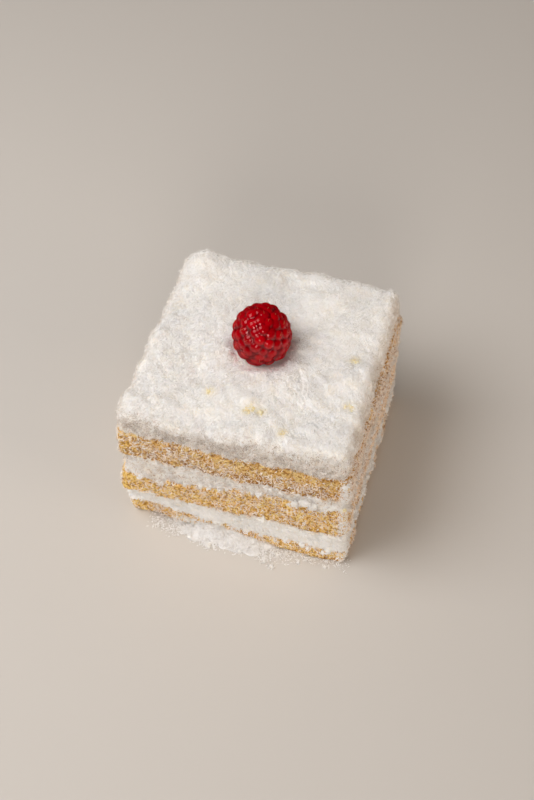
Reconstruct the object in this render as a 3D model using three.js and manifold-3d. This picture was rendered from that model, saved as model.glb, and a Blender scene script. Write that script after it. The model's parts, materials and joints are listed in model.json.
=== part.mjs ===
// A square piece of coconut layer cake: three sponge sheets with cream between them and over the top,
// shredded coconut pressed on all round, and one raspberry. Millimetres, +Z up. The origin is the middle
// of the base, and the cut face that shows the layers best looks along -Y.
import * as THREE from "three";
import { mergeVertices } from "three/addons/utils/BufferGeometryUtils.js";
import Module from "manifold-3d";

const wasm = await Module();
wasm.setup();

// Driving dimensions
const CAKE_SIDE = 76; // side of the square cut, at the sponge
const UPRIGHT_RADIUS = 2.5; // rounding of the four upright corners
const LAYER_GAP = 0.45; // clearance between one piece and the next
const TOP_ROUND = 3.6; // rounding of the top cream's upper edge
const TIGHTEST_RADIUS = 0.8; // least rounding of a corner inside that edge
const ARRIS = 0.7; // how far a sheet's sharp edges are worn back

// What the cake is made of. proud is how far a layer's sides stand outside the cut and crag is the depth of
// their unevenness.
const FOODS = {
  sponge: { proud: 0.3, crag: 0.6, color: 0xd3a35a, roughness: 0.9 },
  cream: { proud: -0.7, crag: 0.5, color: 0xece6dd, roughness: 0.75 },
  topping: { proud: 0.1, crag: 0.5, color: 0xf1ece4, roughness: 0.85 },
  berry: { color: 0xa3101c, roughness: 0.3 },
};

// The layers from the base up. thickness is at the middle, tilt is how far its top rises past the bend, wave
// shifts the waves in its top, and flakes counts the largest shreds on its sides.
const LAYERS = [
  { name: "sponge_bottom", food: "sponge", thickness: 6.5, tilt: -1.8, wave: 21.3, flakes: 8 },
  { name: "cream_lower", food: "cream", thickness: 7.7, tilt: -0.1, wave: 20.7, flakes: 10 },
  { name: "sponge_middle", food: "sponge", thickness: 11.7, tilt: 2.8, wave: 24.8, flakes: 14 },
  { name: "cream_upper", food: "cream", thickness: 7.9, tilt: 0, wave: 17.5, flakes: 8 },
  { name: "sponge_top", food: "sponge", thickness: 11.5, tilt: -0.5, wave: 10.4, flakes: 14 },
  { name: "cream_top", food: "topping", thickness: 10.9, tilt: 0.5, wave: 16.7, flakes: 14 },
];

// How far each layer's corners have moved from the true square, in x and y: front left, front right, back
// right, back left.
const CORNERS = {
  sponge_bottom: [[-0.8, 2.1], [0.7, -1.1], [0.7, 0.3], [-0.8, 0.3]],
  cream_lower: [[-0.3, 0.6], [0.8, -0.4], [1.0, 0], [-0.3, 0]],
  sponge_middle: [[-1.6, 0], [0.3, 0], [0.9, 0], [-1.6, 0]],
  cream_upper: [[-0.3, 0], [0.8, 0], [1.0, 0], [-0.3, 0]],
  sponge_top: [[-1.6, 0], [0.3, 0], [0.9, 0], [-1.4, 0]],
  cream_top: [[-0.6, 0], [-0.6, 0], [-0.6, 0.7], [0.7, 0.7]],
};
const ROW_HEIGHT = 3.2; // height of one row of facets in a side
const BEND_X = -9; // where the layers bend, and over what distance
const BEND_REACH = 14;
const RIPPLE = 0.9; // depth of the waves where two layers meet
const RIPPLE_LENGTH = 34;
const CRAG_LENGTH = 19; // spacing of the bulges in the sides

// The top surface: soft lumps, heaps and hollows, and the seat pressed by the raspberry
const LUMP = 0.55;
const LUMP_LENGTH = 21;
const HEAPS = [
  { x: -31, y: 34.5, height: 3.0, reach: 5.5 },
  { x: -12, y: 36, height: 0.6, reach: 12 },
  { x: 18, y: 34, height: 1.1, reach: 11 },
  { x: -35, y: -34, height: 1.1, reach: 7 },
  { x: -15, y: -36, height: -1.0, reach: 9 },
  { x: 30, y: -32, height: 1.0, reach: 9 },
];
const SEAT = { x: -1.1, y: 0.9, radius: 8.6, edge: 3.4, depth: 1.1 };
const TOP_INSETS = [7, 11.5, 16.5, 21.5, 26, 31]; // rings across the top, in from the side
const TOP_FLAKES = 74;

// A coconut shred
const SHRED = { length: 3.1, width: 1.0, thickness: 0.8, spread: 0.3, lift: 0.42 };

// The raspberry: an upright egg of drupelets, cut flat where it sits
const BERRY = { width: 20, crown: 11.2, waist: 7.4, bead: 2.2, crease: 0.75, spacing: 3.5, tilt: 5 };

// How finely the solids are split
const SIDE_STEPS = 12;
const CAP_INSET = 5;
const CORNER_STEPS = 3;
const ROUND_STEPS = 3;
const DRUPELET_SIDES = 6;
const DRUPELET_BANDS = 4;
const CORE_SIDES = 12;

const HALF = CAKE_SIDE / 2;

// Random numbers from 0 to 1 that are the same on every run.
function seededDraw(seed) {
  let state = seed;
  return () => {
    state = (state + 0x6d2b79f5) | 0;
    let mixed = Math.imul(state ^ (state >>> 15), 1 | state);
    mixed = (mixed + Math.imul(mixed ^ (mixed >>> 7), 61 | mixed)) ^ mixed;
    return ((mixed ^ (mixed >>> 14)) >>> 0) / 4294967296;
  };
}

// Smooth unevenness between -1 and 1: three crossing waves, shifted by the seed.
function unevenness(x, y, z, length, seed) {
  const turn = (2 * Math.PI) / length;
  const first = Math.sin(turn * (0.9 * x + 0.45 * y + 0.6 * z) + 1.7 * seed);
  const second = Math.sin(turn * (-0.5 * x + 1.15 * y - 0.8 * z) + 2.9 * seed + 1);
  const third = Math.sin(turn * (1.45 * x - 1.3 * y + 1.2 * z) + 4.3 * seed + 2);
  return (first + second + third) / 3;
}

// Height of the surface where layer number `level` ends and the next begins. Level -1 is the base.
function meetingHeight(level, x, y) {
  if (level < 0) return 0;
  const below = LAYERS.slice(0, level + 1).reduce((sum, layer) => sum + layer.thickness, 0);
  const { tilt, wave } = LAYERS[level];
  const slope = tilt * Math.tanh((x - BEND_X) / BEND_REACH);
  return below + slope + RIPPLE * unevenness(x, y, 0, RIPPLE_LENGTH, wave);
}

const SEAT_HEIGHT = meetingHeight(LAYERS.length - 1, SEAT.x, SEAT.y) - SEAT.depth;

// Height of the coconut-covered top, with its heaps and the raspberry's seat.
function topHeight(x, y) {
  const lumps = LUMP * unevenness(x, y, 0, LUMP_LENGTH, 11);
  let open = meetingHeight(LAYERS.length - 1, x, y) + lumps;
  for (const heap of HEAPS) {
    const distance = Math.hypot(x - heap.x, y - heap.y) / heap.reach;
    open += heap.height * Math.exp(-distance * distance);
  }
  const fromSeat = Math.hypot(x - SEAT.x, y - SEAT.y) - SEAT.radius;
  return THREE.MathUtils.lerp(SEAT_HEIGHT, open, THREE.MathUtils.smoothstep(fromSeat, 0, SEAT.edge));
}

// The rounded square, anticlockwise from the front left: for each column a point and the way out of it.
function squareEdge(half, radius) {
  const straight = half - radius;
  const columns = [];
  for (let side = 0; side < 4; side++) {
    const turn = (side * Math.PI) / 2;
    const along = new THREE.Vector2(Math.cos(turn), Math.sin(turn));
    const out = new THREE.Vector2(along.y, -along.x);
    for (let step = 0; step < SIDE_STEPS; step++) {
      const place = THREE.MathUtils.lerp(-straight, straight, step / SIDE_STEPS);
      const point = along.clone().multiplyScalar(place).addScaledVector(out, half);
      columns.push({ point, out });
    }
    const centre = along.clone().add(out).multiplyScalar(straight);
    for (let step = 0; step < CORNER_STEPS; step++) {
      const angle = (step / CORNER_STEPS) * (Math.PI / 2);
      const way = out.clone().multiplyScalar(Math.cos(angle)).addScaledVector(along, Math.sin(angle));
      columns.push({ point: centre.clone().addScaledVector(way, radius), out: way });
    }
  }
  return columns;
}

// The columns of one layer's plan: the square with each corner of the layer where it has moved to.
function planColumns({ name }) {
  return squareEdge(HALF, UPRIGHT_RADIUS).map(({ point, out }) => {
    const right = (point.x / HALF + 1) / 2;
    const back = (point.y / HALF + 1) / 2;
    const shares = [(1 - right) * (1 - back), right * (1 - back), right * back, (1 - right) * back];
    const moved = point.clone();
    CORNERS[name].forEach(([x, y], corner) => {
      moved.addScaledVector(new THREE.Vector2(x, y), shares[corner]);
    });
    return { point: moved, out };
  });
}

// A closed geometry from rings of equal length, with a middle point under the first and over the last.
function geometryOfRings(rings, foot, crown) {
  const columns = rings[0].length;
  const last = rings.length - 1;
  const points = [foot, ...rings.flat(), crown];
  const at = (ring, column) => 1 + ring * columns + (column % columns);
  const index = [];
  for (let column = 0; column < columns; column++) {
    index.push(0, at(0, column + 1), at(0, column));
    for (let ring = 0; ring < last; ring++) {
      const above = at(ring + 1, column + 1);
      index.push(at(ring, column), at(ring, column + 1), above);
      index.push(at(ring, column), above, at(ring + 1, column));
    }
    index.push(points.length - 1, at(last, column), at(last, column + 1));
  }
  return new THREE.BufferGeometry().setFromPoints(points).setIndex(index);
}

// A closed geometry as a solid that can be joined and cut.
function solidOf(geometry) {
  const bare = geometry.clone();
  bare.deleteAttribute("normal");
  bare.deleteAttribute("uv");
  const merged = mergeVertices(bare);
  const vertProperties = new Float32Array(merged.attributes.position.array);
  const triVerts = new Uint32Array(merged.index.array);
  return new wasm.Manifold(new wasm.Mesh({ numProp: 3, vertProperties, triVerts }));
}

// A joined or cut solid as a named mesh in its food's material.
function meshOf(name, food, solid) {
  const made = solid.getMesh();
  const geometry = new THREE.BufferGeometry();
  geometry.setAttribute("position", new THREE.BufferAttribute(made.vertProperties, 3));
  geometry.setIndex(new THREE.BufferAttribute(made.triVerts, 1));
  geometry.computeVertexNormals();
  const { color, roughness } = FOODS[food];
  const mesh = new THREE.Mesh(geometry, new THREE.MeshStandardMaterial({ color, roughness, metalness: 0 }));
  mesh.name = name;
  return mesh;
}

// The heights between which a layer lies at a point of the plan, clear of its neighbours.
function layerSpan(level, x, y) {
  const low = meetingHeight(level - 1, x, y) + (level > 0 ? LAYER_GAP / 2 : 0);
  return { low, high: meetingHeight(level, x, y) - LAYER_GAP / 2 };
}

// Where a layer's side is, at one column of the cut and one height.
function sidePoint(level, { point, out }, height) {
  const { proud, crag } = FOODS[LAYERS[level].food];
  const reach = proud + crag * unevenness(point.x, point.y, height, CRAG_LENGTH, level);
  return new THREE.Vector3(point.x + out.x * reach, point.y + out.y * reach, height);
}

// One ring of a layer's side at a share of its height, worn back by `worn` at a sharp edge.
function sideRing(level, share, worn) {
  return planColumns(LAYERS[level]).map((column) => {
    const { low, high } = layerSpan(level, column.point.x, column.point.y);
    const place = sidePoint(level, column, THREE.MathUtils.lerp(low, high, share));
    place.x -= column.out.x * worn;
    place.y -= column.out.y * worn;
    return place;
  });
}

// A ring inside a layer's underside ("low") or top ("high"), at the same place in every layer.
function capRing(level, end) {
  return squareEdge(HALF - CAP_INSET, UPRIGHT_RADIUS).map(
    ({ point }) => new THREE.Vector3(point.x, point.y, layerSpan(level, point.x, point.y)[end]),
  );
}

// A sheet of sponge or cream that runs right through the cake.
function sheetGeometry(level) {
  const rows = Math.round(LAYERS[level].thickness / ROW_HEIGHT) + 1;
  const rings = [capRing(level, "low")];
  for (let row = 0; row <= rows; row++) {
    const atEdge = row === 0 || row === rows;
    rings.push(sideRing(level, row / rows, atEdge ? ARRIS : 0));
  }
  rings.push(capRing(level, "high"));
  const { low, high } = layerSpan(level, 0, 0);
  return geometryOfRings(rings, new THREE.Vector3(0, 0, low), new THREE.Vector3(0, 0, high));
}

// The top cream: upright sides, a rounded edge, and rings of lumps in to the raspberry's seat.
function toppingGeometry(level) {
  const { thickness } = LAYERS[level];
  const rows = Math.round((thickness - TOP_ROUND) / ROW_HEIGHT);
  const roundStart = 1 - TOP_ROUND / thickness;
  const rings = [capRing(level, "low")];
  for (let row = 0; row < rows; row++) {
    rings.push(sideRing(level, (roundStart * row) / rows, row === 0 ? ARRIS : 0));
  }
  const shoulder = sideRing(level, roundStart, 0);
  const edge = squareEdge(HALF, UPRIGHT_RADIUS);
  for (let step = 0; step <= ROUND_STEPS; step++) {
    const angle = (step / ROUND_STEPS) * (Math.PI / 2);
    const inward = TOP_ROUND * (1 - Math.cos(angle));
    const inner = squareEdge(HALF - inward, Math.max(UPRIGHT_RADIUS - inward, TIGHTEST_RADIUS));
    rings.push(
      shoulder.map((place, column) => {
        const x = place.x + inner[column].point.x - edge[column].point.x;
        const y = place.y + inner[column].point.y - edge[column].point.y;
        const z = THREE.MathUtils.lerp(place.z, topHeight(x, y), Math.sin(angle));
        return new THREE.Vector3(x, y, z);
      }),
    );
  }
  for (const inset of TOP_INSETS) {
    const half = HALF - inset;
    rings.push(
      squareEdge(half, Math.min(UPRIGHT_RADIUS, half / 2)).map(
        ({ point }) => new THREE.Vector3(point.x, point.y, topHeight(point.x, point.y)),
      ),
    );
  }
  const { low } = layerSpan(level, 0, 0);
  return geometryOfRings(rings, new THREE.Vector3(0, 0, low), new THREE.Vector3(0, 0, topHeight(0, 0)));
}

// One coconut shred, centred on `place` with its flat side against `away`, turned and lifted at one end.
function shredSolid(place, away, draw) {
  const size = 1 + SHRED.spread * (2 * draw() - 1);
  const geometry = new THREE.BoxGeometry(SHRED.length * size, SHRED.width, SHRED.thickness);
  geometry.rotateY(SHRED.lift * (2 * draw() - 1));
  geometry.rotateZ(Math.PI * draw());
  geometry.applyQuaternion(new THREE.Quaternion().setFromUnitVectors(new THREE.Vector3(0, 0, 1), away));
  geometry.translate(place.x, place.y, place.z);
  return solidOf(geometry);
}

// Even scatter: the step of the plastic number fills a square without clumps.
function evenPlace(number, seed) {
  const step = 1.32471795724;
  return [(seed + number / step) % 1, (seed + number / (step * step)) % 1];
}

// The largest shreds on a layer's sides, kept clear of the layers above and below.
function sideShreds(level) {
  const { food, flakes } = LAYERS[level];
  const columns = planColumns(LAYERS[level]);
  const draw = seededDraw(100 + level);
  const reach = (SHRED.length * (1 + SHRED.spread)) / 2 + LAYER_GAP;
  const made = [];
  for (let number = 0; number < flakes; number++) {
    const [around, up] = evenPlace(number, 0.31 * (level + 1));
    const column = columns[Math.floor(around * columns.length)];
    const { low, high } = layerSpan(level, column.point.x, column.point.y);
    const ceiling = high - (food === "topping" ? TOP_ROUND : reach);
    if (ceiling < low + reach) continue;
    const place = sidePoint(level, column, THREE.MathUtils.lerp(low + reach, ceiling, up));
    made.push(shredSolid(place, new THREE.Vector3(column.out.x, column.out.y, 0), draw));
  }
  return made;
}

// The largest shreds on the top, kept clear of the edge and the raspberry.
function topShreds() {
  const draw = seededDraw(7);
  const reach = CAKE_SIDE - 2 * TOP_ROUND;
  const clear = SEAT.radius + SEAT.edge + SHRED.length / 2;
  const made = [];
  for (let number = 0; number < TOP_FLAKES; number++) {
    const [across, along] = evenPlace(number, 0.5);
    const x = (across - 0.5) * reach;
    const y = (along - 0.5) * reach;
    if (Math.hypot(x - SEAT.x, y - SEAT.y) < clear) continue;
    made.push(shredSolid(new THREE.Vector3(x, y, topHeight(x, y)), new THREE.Vector3(0, 0, 1), draw));
  }
  return made;
}

// A layer with its shreds fused on.
function layerMesh(level) {
  const { name, food } = LAYERS[level];
  const isTopping = food === "topping";
  const body = solidOf(isTopping ? toppingGeometry(level) : sheetGeometry(level));
  const shreds = [...sideShreds(level), ...(isTopping ? topShreds() : [])];
  return meshOf(name, food, shreds.reduce((whole, shred) => whole.add(shred), body));
}

// The raspberry: rings of drupelets on an egg-shaped core, leaning a little and cut flat on its seat.
function raspberryMesh() {
  const across = BERRY.width / 2 - BERRY.bead;
  const upright = BERRY.crown - BERRY.bead;
  const bead = new THREE.SphereGeometry(BERRY.bead, DRUPELET_SIDES, DRUPELET_BANDS);
  const core = new THREE.SphereGeometry(1, CORE_SIDES, CORE_SIDES / 2);
  core.rotateX(Math.PI / 2).scale(across + BERRY.crease, across + BERRY.crease, upright + BERRY.crease);
  const lean = new THREE.Matrix4().makeRotationX(THREE.MathUtils.degToRad(BERRY.tilt));
  const lowest = -Math.asin(Math.min(1, BERRY.waist / BERRY.crown));
  const rings = Math.round(((Math.PI / 2 - lowest) * (across + upright)) / 2 / (BERRY.spacing * 0.87));
  let berry = solidOf(core.applyMatrix4(lean));
  for (let ring = 0; ring <= rings; ring++) {
    const rise = THREE.MathUtils.lerp(lowest, Math.PI / 2, ring / rings);
    const radius = across * Math.cos(rise);
    const count = Math.max(1, Math.round((2 * Math.PI * radius) / BERRY.spacing));
    for (let number = 0; number < count; number++) {
      const angle = ((number + 0.5 * (ring % 2)) / count) * 2 * Math.PI;
      const place = bead.clone().rotateX(Math.PI / 2).rotateY(Math.PI / 2 - rise).rotateZ(angle);
      place.translate(radius * Math.cos(angle), radius * Math.sin(angle), upright * Math.sin(rise));
      berry = berry.add(solidOf(place.applyMatrix4(lean)));
    }
  }
  const centreHeight = SEAT_HEIGHT + LAYER_GAP + BERRY.waist;
  const below = new THREE.BoxGeometry(2 * BERRY.width, 2 * BERRY.width, 2 * BERRY.crown);
  below.translate(0, 0, -BERRY.waist - BERRY.crown);
  const mesh = meshOf("raspberry", "berry", berry.subtract(solidOf(below)));
  mesh.position.set(SEAT.x, SEAT.y, centreHeight);
  return mesh;
}

const cake = new THREE.Group();
LAYERS.forEach((_, level) => cake.add(layerMesh(level)));
cake.add(raspberryMesh());

export default cake;
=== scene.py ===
"""Looks for a square piece of coconut layer cake with a raspberry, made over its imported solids.

Sizes in the classes are millimetres in the part's own frame: +Z is up, the cut face that shows the layers
best looks along -Y, and the origin is the middle of the base. Meshes are in metres.
"""
import json
import logging
import math
from collections.abc import Sequence
from dataclasses import dataclass, field
from enum import Enum

import bmesh
import bpy
import numpy as np
from mathutils import Matrix, Vector

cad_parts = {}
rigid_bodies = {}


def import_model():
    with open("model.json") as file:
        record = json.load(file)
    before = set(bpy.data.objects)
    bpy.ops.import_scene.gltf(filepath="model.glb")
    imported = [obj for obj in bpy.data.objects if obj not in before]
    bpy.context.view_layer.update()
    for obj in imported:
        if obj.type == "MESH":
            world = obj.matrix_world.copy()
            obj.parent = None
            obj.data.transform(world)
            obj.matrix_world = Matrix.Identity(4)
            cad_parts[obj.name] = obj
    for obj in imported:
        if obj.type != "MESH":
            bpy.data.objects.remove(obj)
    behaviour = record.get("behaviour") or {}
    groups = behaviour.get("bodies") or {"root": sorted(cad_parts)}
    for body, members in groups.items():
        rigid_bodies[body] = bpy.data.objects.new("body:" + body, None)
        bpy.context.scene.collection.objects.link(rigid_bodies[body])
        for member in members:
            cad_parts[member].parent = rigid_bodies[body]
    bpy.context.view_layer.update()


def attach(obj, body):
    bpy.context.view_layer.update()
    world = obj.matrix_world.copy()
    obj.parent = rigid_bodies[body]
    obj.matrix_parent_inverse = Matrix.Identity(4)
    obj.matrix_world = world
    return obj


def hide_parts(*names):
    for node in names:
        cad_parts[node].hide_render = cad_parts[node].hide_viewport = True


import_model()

LOG = logging.getLogger("coconut_cake")
MM = 0.001
BODY = "root"

# The least height of loose things above the floor, and how many columns a side and a corner of a sheet have.
FLOOR_GAP = 0.02
COLUMNS = (216, 12)

# A ball is a middle and a radius. Marks are numbers that a mesh carries at its points, by name.
Colour = tuple[float, float, float, float]
Ball = tuple[float, float, float, float]
Triple = tuple[float, float, float]
Pair = tuple[float, float]
Array = np.ndarray
Marks = dict[str, np.ndarray]


class Food(Enum):
    """What a layer is made of."""

    SPONGE = "sponge"
    CREAM = "cream"
    TOPPING = "coconut"


class Spread(Enum):
    """How small things are laid out on what carries them."""

    FACES = "faces"
    POINTS = "points"


def named_socket(sockets: bpy.types.bpy_prop_collection, key: int | str) -> bpy.types.NodeSocket:
    """Find a socket by number, or by name among those that are switched on.

    Args:
        sockets: The inputs or outputs of a node.
        key: The socket's number or its name.

    Returns:
        The socket.
    """
    if isinstance(key, int):
        return sockets[key]
    return next(socket for socket in sockets if socket.enabled and socket.name == key)


class Value:
    """One output of a node, with arithmetic that adds Math nodes to the same tree."""

    def __init__(self, graph: "Graph", socket: bpy.types.NodeSocket) -> None:
        """Keep the tree and the socket."""
        self.graph = graph
        self.socket = socket

    def of(self, name: str) -> "Value":
        """Another output of the same node."""
        return Value(self.graph, named_socket(self.socket.node.outputs, name))

    def math(self, operation: str, *operands: "Link") -> "Value":
        """Add one Math node on these operands."""
        return self.graph.add("ShaderNodeMath", {"operation": operation}, dict(enumerate(operands)))

    def __add__(self, other: "Link") -> "Value":
        """Sum."""
        return self.math("ADD", self, other)

    def __sub__(self, other: "Link") -> "Value":
        """Difference."""
        return self.math("SUBTRACT", self, other)

    def __rsub__(self, other: "Link") -> "Value":
        """Difference from a number."""
        return self.math("SUBTRACT", other, self)

    def __mul__(self, other: "Link") -> "Value":
        """Product."""
        return self.math("MULTIPLY", self, other)

    def __truediv__(self, other: "Link") -> "Value":
        """Quotient."""
        return self.math("DIVIDE", self, other)

    def __rtruediv__(self, other: "Link") -> "Value":
        """A number over this."""
        return self.math("DIVIDE", other, self)

    __radd__ = __add__
    __rmul__ = __mul__

    def step(self, low: float, high: float) -> "Value":
        """Rise smoothly from 0 where this is `low` to 1 where it is `high`."""
        limits = {"Value": self, "From Min": low, "From Max": high}
        return self.graph.add("ShaderNodeMapRange", {"interpolation_type": "SMOOTHSTEP"}, limits)


Link = Value | float | int | str | tuple | bool


class Graph:
    """A node tree that is filled from Python."""

    def __init__(self, tree: bpy.types.NodeTree) -> None:
        """Empty the tree and keep it."""
        tree.nodes.clear()
        self.tree = tree

    def add(self, kind: str, settings: dict | None = None, sockets: dict | None = None) -> Value | None:
        """Add one node.

        Args:
            kind: The node's type.
            settings: Its properties, set first.
            sockets: Values or links for its inputs, by name or number.

        Returns:
            Its first output that is switched on, or None for an end node.
        """
        node = self.tree.nodes.new(kind)
        for name, setting in (settings or {}).items():
            setattr(node, name, setting)
        for key, value in (sockets or {}).items():
            socket = named_socket(node.inputs, key)
            if isinstance(value, Value):
                self.tree.links.new(value.socket, socket)
            else:
                socket.default_value = value
        live = [socket for socket in node.outputs if socket.enabled]
        return Value(self, live[0]) if live else None

    def blend(self, share: Link, first: Link, second: Link) -> Value:
        """Mix two colours: the first where the share is 0, the second where it is 1."""
        return self.add("ShaderNodeMix", {"data_type": "RGBA"}, {"Factor": share, "A": first, "B": second})

    def noise(self, place: Value, size: float, detail: float = 2.0, rough: float = 0.5) -> Value:
        """Cloudy unevenness from 0 to 1 with lumps of about `size` millimetres."""
        sockets = {"Vector": place, "Scale": 1 / (size * MM), "Detail": detail, "Roughness": rough}
        return self.add("ShaderNodeTexNoise", None, sockets)

    def mark(self, name: str) -> Value:
        """A number that the piece's mesh carries at each point."""
        return self.add("ShaderNodeAttribute", {"attribute_name": name}).of("Fac")

    def place(self) -> Value:
        """Object coordinates, which are the part's own frame in metres."""
        return self.add("ShaderNodeTexCoord").of("Object")

    def bump(self, height: Value, depth: float, strength: float) -> Value:
        """Fine relief in the normal, `depth` millimetres deep."""
        sockets = {"Height": height, "Distance": depth * MM, "Strength": strength}
        return self.add("ShaderNodeBump", None, sockets)

    def position(self) -> Value:
        """Where each point of the geometry is, in a Geometry Nodes tree."""
        return self.add("GeometryNodeInputPosition")

    def cloud(self, size: Value, seed: Value) -> Value:
        """Cloudy unevenness from 0 to 1 over the geometry, with lumps of about `size` metres."""
        sockets = {"Vector": self.position(), "W": seed, "Scale": 1.0 / size, "Detail": 2.0}
        return self.add("ShaderNodeTexNoise", {"noise_dimensions": "4D"}, sockets)

    def scaled(self, way: Value, length: Value) -> Value:
        """A vector times a number."""
        return self.add("ShaderNodeVectorMath", {"operation": "SCALE"}, {0: way, "Scale": length})

    def moved(self, geometry: Value, offset: Value) -> Value:
        """The geometry with its points moved."""
        return self.add("GeometryNodeSetPosition", None, {"Geometry": geometry, "Offset": offset})

    def carried(self, name: str, kind: str = "FLOAT") -> Value:
        """A number or vector that the geometry carries at each point."""
        return self.add("GeometryNodeInputNamedAttribute", {"data_type": kind}, {"Name": name})

    def keep(self, geometry: Value, domain: str, name: str, value: Value, kind: str = "FLOAT") -> Value:
        """The geometry with a number or vector that it carries from here on."""
        sockets = {"Geometry": geometry, "Name": name, "Value": value}
        return self.add("GeometryNodeStoreNamedAttribute", {"data_type": kind, "domain": domain}, sockets)


class Finish:
    """A surface that can be put on a piece."""

    name: str

    def dress(self, graph: Graph) -> dict[str, Link]:
        """Say what each socket of the Principled shader takes."""
        raise NotImplementedError

    def surface(self, graph: Graph) -> Value:
        """The shader that the finish ends in."""
        return graph.add("ShaderNodeBsdfPrincipled", None, self.dress(graph))

    def material(self) -> bpy.types.Material:
        """Make the finish, unless it is made already.

        Returns:
            Its material.
        """
        made = bpy.data.materials.get(self.name)
        if made is None:
            made = bpy.data.materials.new(self.name)
            made.use_nodes = True
            graph = Graph(made.node_tree)
            graph.add("ShaderNodeOutputMaterial", None, {"Surface": self.surface(graph)})
        return made


@dataclass(frozen=True)
class SpongeFinish(Finish):
    """Golden crumb: pale walls, pores in deeper amber as painted shade, toasted towards the sheet's skins."""

    name: str = "golden_sponge"
    crumb: Colour = (0.78, 0.49, 0.14, 1)
    pore: Colour = (0.32, 0.125, 0.02, 1)
    toast: Colour = (0.28, 0.11, 0.03, 1)
    pale: Colour = (0.86, 0.64, 0.25, 1)
    gold: Colour = (0.88, 0.60, 0.15, 1)
    flake: Colour = (0.92, 0.78, 0.50, 1)
    mottle_size: float = 3.0
    speck_size: float = 0.7
    skin_size: float = 2.4

    def dress(self, graph: Graph) -> dict[str, Link]:
        """Colour by the pores of the relief, with mottling, toasted skins, a golden end and fine specks.

        Args:
            graph: The finish's tree.

        Returns:
            What each socket of the Principled shader takes.
        """
        place = graph.place()
        mottle = graph.noise(place, self.mottle_size, 3.0)
        speck = graph.noise(place, self.speck_size)
        body = graph.blend(mottle.step(0.42, 0.62), self.crumb, self.pale)
        body = graph.blend(graph.mark("gold") * 0.55, body, self.gold)
        # Painted shade in the pores: deeper amber where the relief is pressed in.
        body = graph.blend(graph.mark("pore"), body, self.pore)
        skin = graph.mark("skin") * graph.noise(place, self.skin_size).step(0.4, 0.6)
        body = graph.blend(skin * 0.75, body, self.toast)
        body = graph.blend(speck.step(0.46, 0.34) * 0.5, body, self.flake)
        # Fine dark specks in the pore colour: painted shade of tiny pores.
        body = graph.blend(speck.step(0.52, 0.62) * 0.8, body, self.pore)
        return {
            "Base Color": body,
            "Roughness": 0.9,
            "Specular IOR Level": 0.2,
            "Subsurface Weight": 0.12,
            "Subsurface Radius": (1.0, 0.6, 0.25),
            "Subsurface Scale": 0.6 * MM,
            "Normal": graph.bump(speck, 0.25, 0.7),
        }


@dataclass(frozen=True)
class CreamFinish(Finish):
    """Whipped cream: soft, matt and nearly white, a little warm in a slow mottling."""

    name: str = "whipped_cream"
    light: Colour = (0.95, 0.935, 0.905, 1)
    shade: Colour = (0.93, 0.88, 0.80, 1)
    mottle_size: float = 4.0
    grain_size: float = 0.6

    def dress(self, graph: Graph) -> dict[str, Link]:
        """Colour by a slow mottling, with fine grain in the normal.

        Args:
            graph: The finish's tree.

        Returns:
            What each socket of the Principled shader takes.
        """
        place = graph.place()
        mottle = graph.noise(place, self.mottle_size, 3.0)
        grain = graph.noise(place, self.grain_size, 3.0, 0.6)
        return {
            "Base Color": graph.blend(mottle.step(0.42, 0.75), self.light, self.shade),
            "Roughness": 0.62,
            "Specular IOR Level": 0.3,
            "Subsurface Weight": 0.6,
            "Subsurface Radius": (1.0, 0.9, 0.8),
            "Subsurface Scale": 1.0 * MM,
            "Normal": graph.bump(grain, 0.3, 0.6),
        }


@dataclass(frozen=True)
class CoconutFinish(Finish):
    """Shredded coconut: white and ivory, beige and partly toasted on crumb, and stained by the berry."""

    name: str = "shredded_coconut"
    white: Colour = (0.925, 0.92, 0.915, 1)
    ivory: Colour = (0.91, 0.885, 0.835, 1)
    beige: Colour = (0.93, 0.72, 0.50, 1)
    # A grey-beige that is painted shade on coconut: at the top's shaded front and right edge, on the cream
    # bands and on the bank.
    dull: Colour = (0.46, 0.41, 0.36, 1)
    gold: Colour = (0.92, 0.76, 0.34, 1)
    toast: Colour = (0.38, 0.19, 0.07, 1)
    stain: Colour = (0.80, 0.46, 0.44, 1)
    stain_centre: Triple = (-1.1, 0.9, 55.0)
    stain_reach: Pair = (13.0, 9.5)
    stain_share: float = 0.45
    stain_size: float = 1.8
    patch_size: float = 9.0
    clot_size: float = 2.2

    def dress(self, graph: Graph) -> dict[str, Link]:
        """Colour each shred by its own tone and by what it lies on, and pinker close to the berry.

        Args:
            graph: The finish's tree.

        Returns:
            What each socket of the Principled shader takes.
        """
        place = graph.place()
        centre = tuple(length * MM for length in self.stain_centre)
        away = graph.add("ShaderNodeVectorMath", {"operation": "DISTANCE"}, {0: place, 1: centre}).of("Value")
        near = away.step(self.stain_reach[0] * MM, self.stain_reach[1] * MM)
        patch = graph.noise(place, self.patch_size)
        tone, warm, dull = (graph.mark(name) for name in ("tone", "warm", "dull"))
        body = graph.blend(tone.step(0.55, 1.0) * 0.7 + patch.step(0.5, 0.75) * 0.3, self.white, self.ivory)
        # Beige where shreds lie on crumb and take its colour; on the top's hanging edge and on the upper
        # cream the same beige is painted warm shade.
        body = graph.blend(warm * (tone.step(0.1, 0.9) * 0.75 + 0.2), body, self.beige)
        clot = graph.noise(place, self.clot_size).step(0.36, 0.64)
        # Painted shade: where marked, shreds turn grey-beige, by their tone and in cloudy clots.
        body = graph.blend(dull * (tone.step(0.2, 1.0) * 0.5 + clot * 0.5), body, self.dull)
        # Painted shadow between shreds: where marked, a few shreds turn the dark toast colour.
        body = graph.blend(dull * tone.step(0.86, 0.9) * 0.45, body, self.toast)
        body = graph.blend(graph.mark("gold") * (tone * 0.7 + 0.3), body, self.gold)
        body = graph.blend(warm.step(0.2, 0.5) * tone.step(0.91, 0.93), body, self.toast)
        stained = near * graph.noise(place, self.stain_size).step(0.4, 0.62) * self.stain_share
        body = graph.blend(stained, body, self.stain)
        return {"Base Color": body, "Roughness": 0.6, "Specular IOR Level": 0.3}


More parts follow.
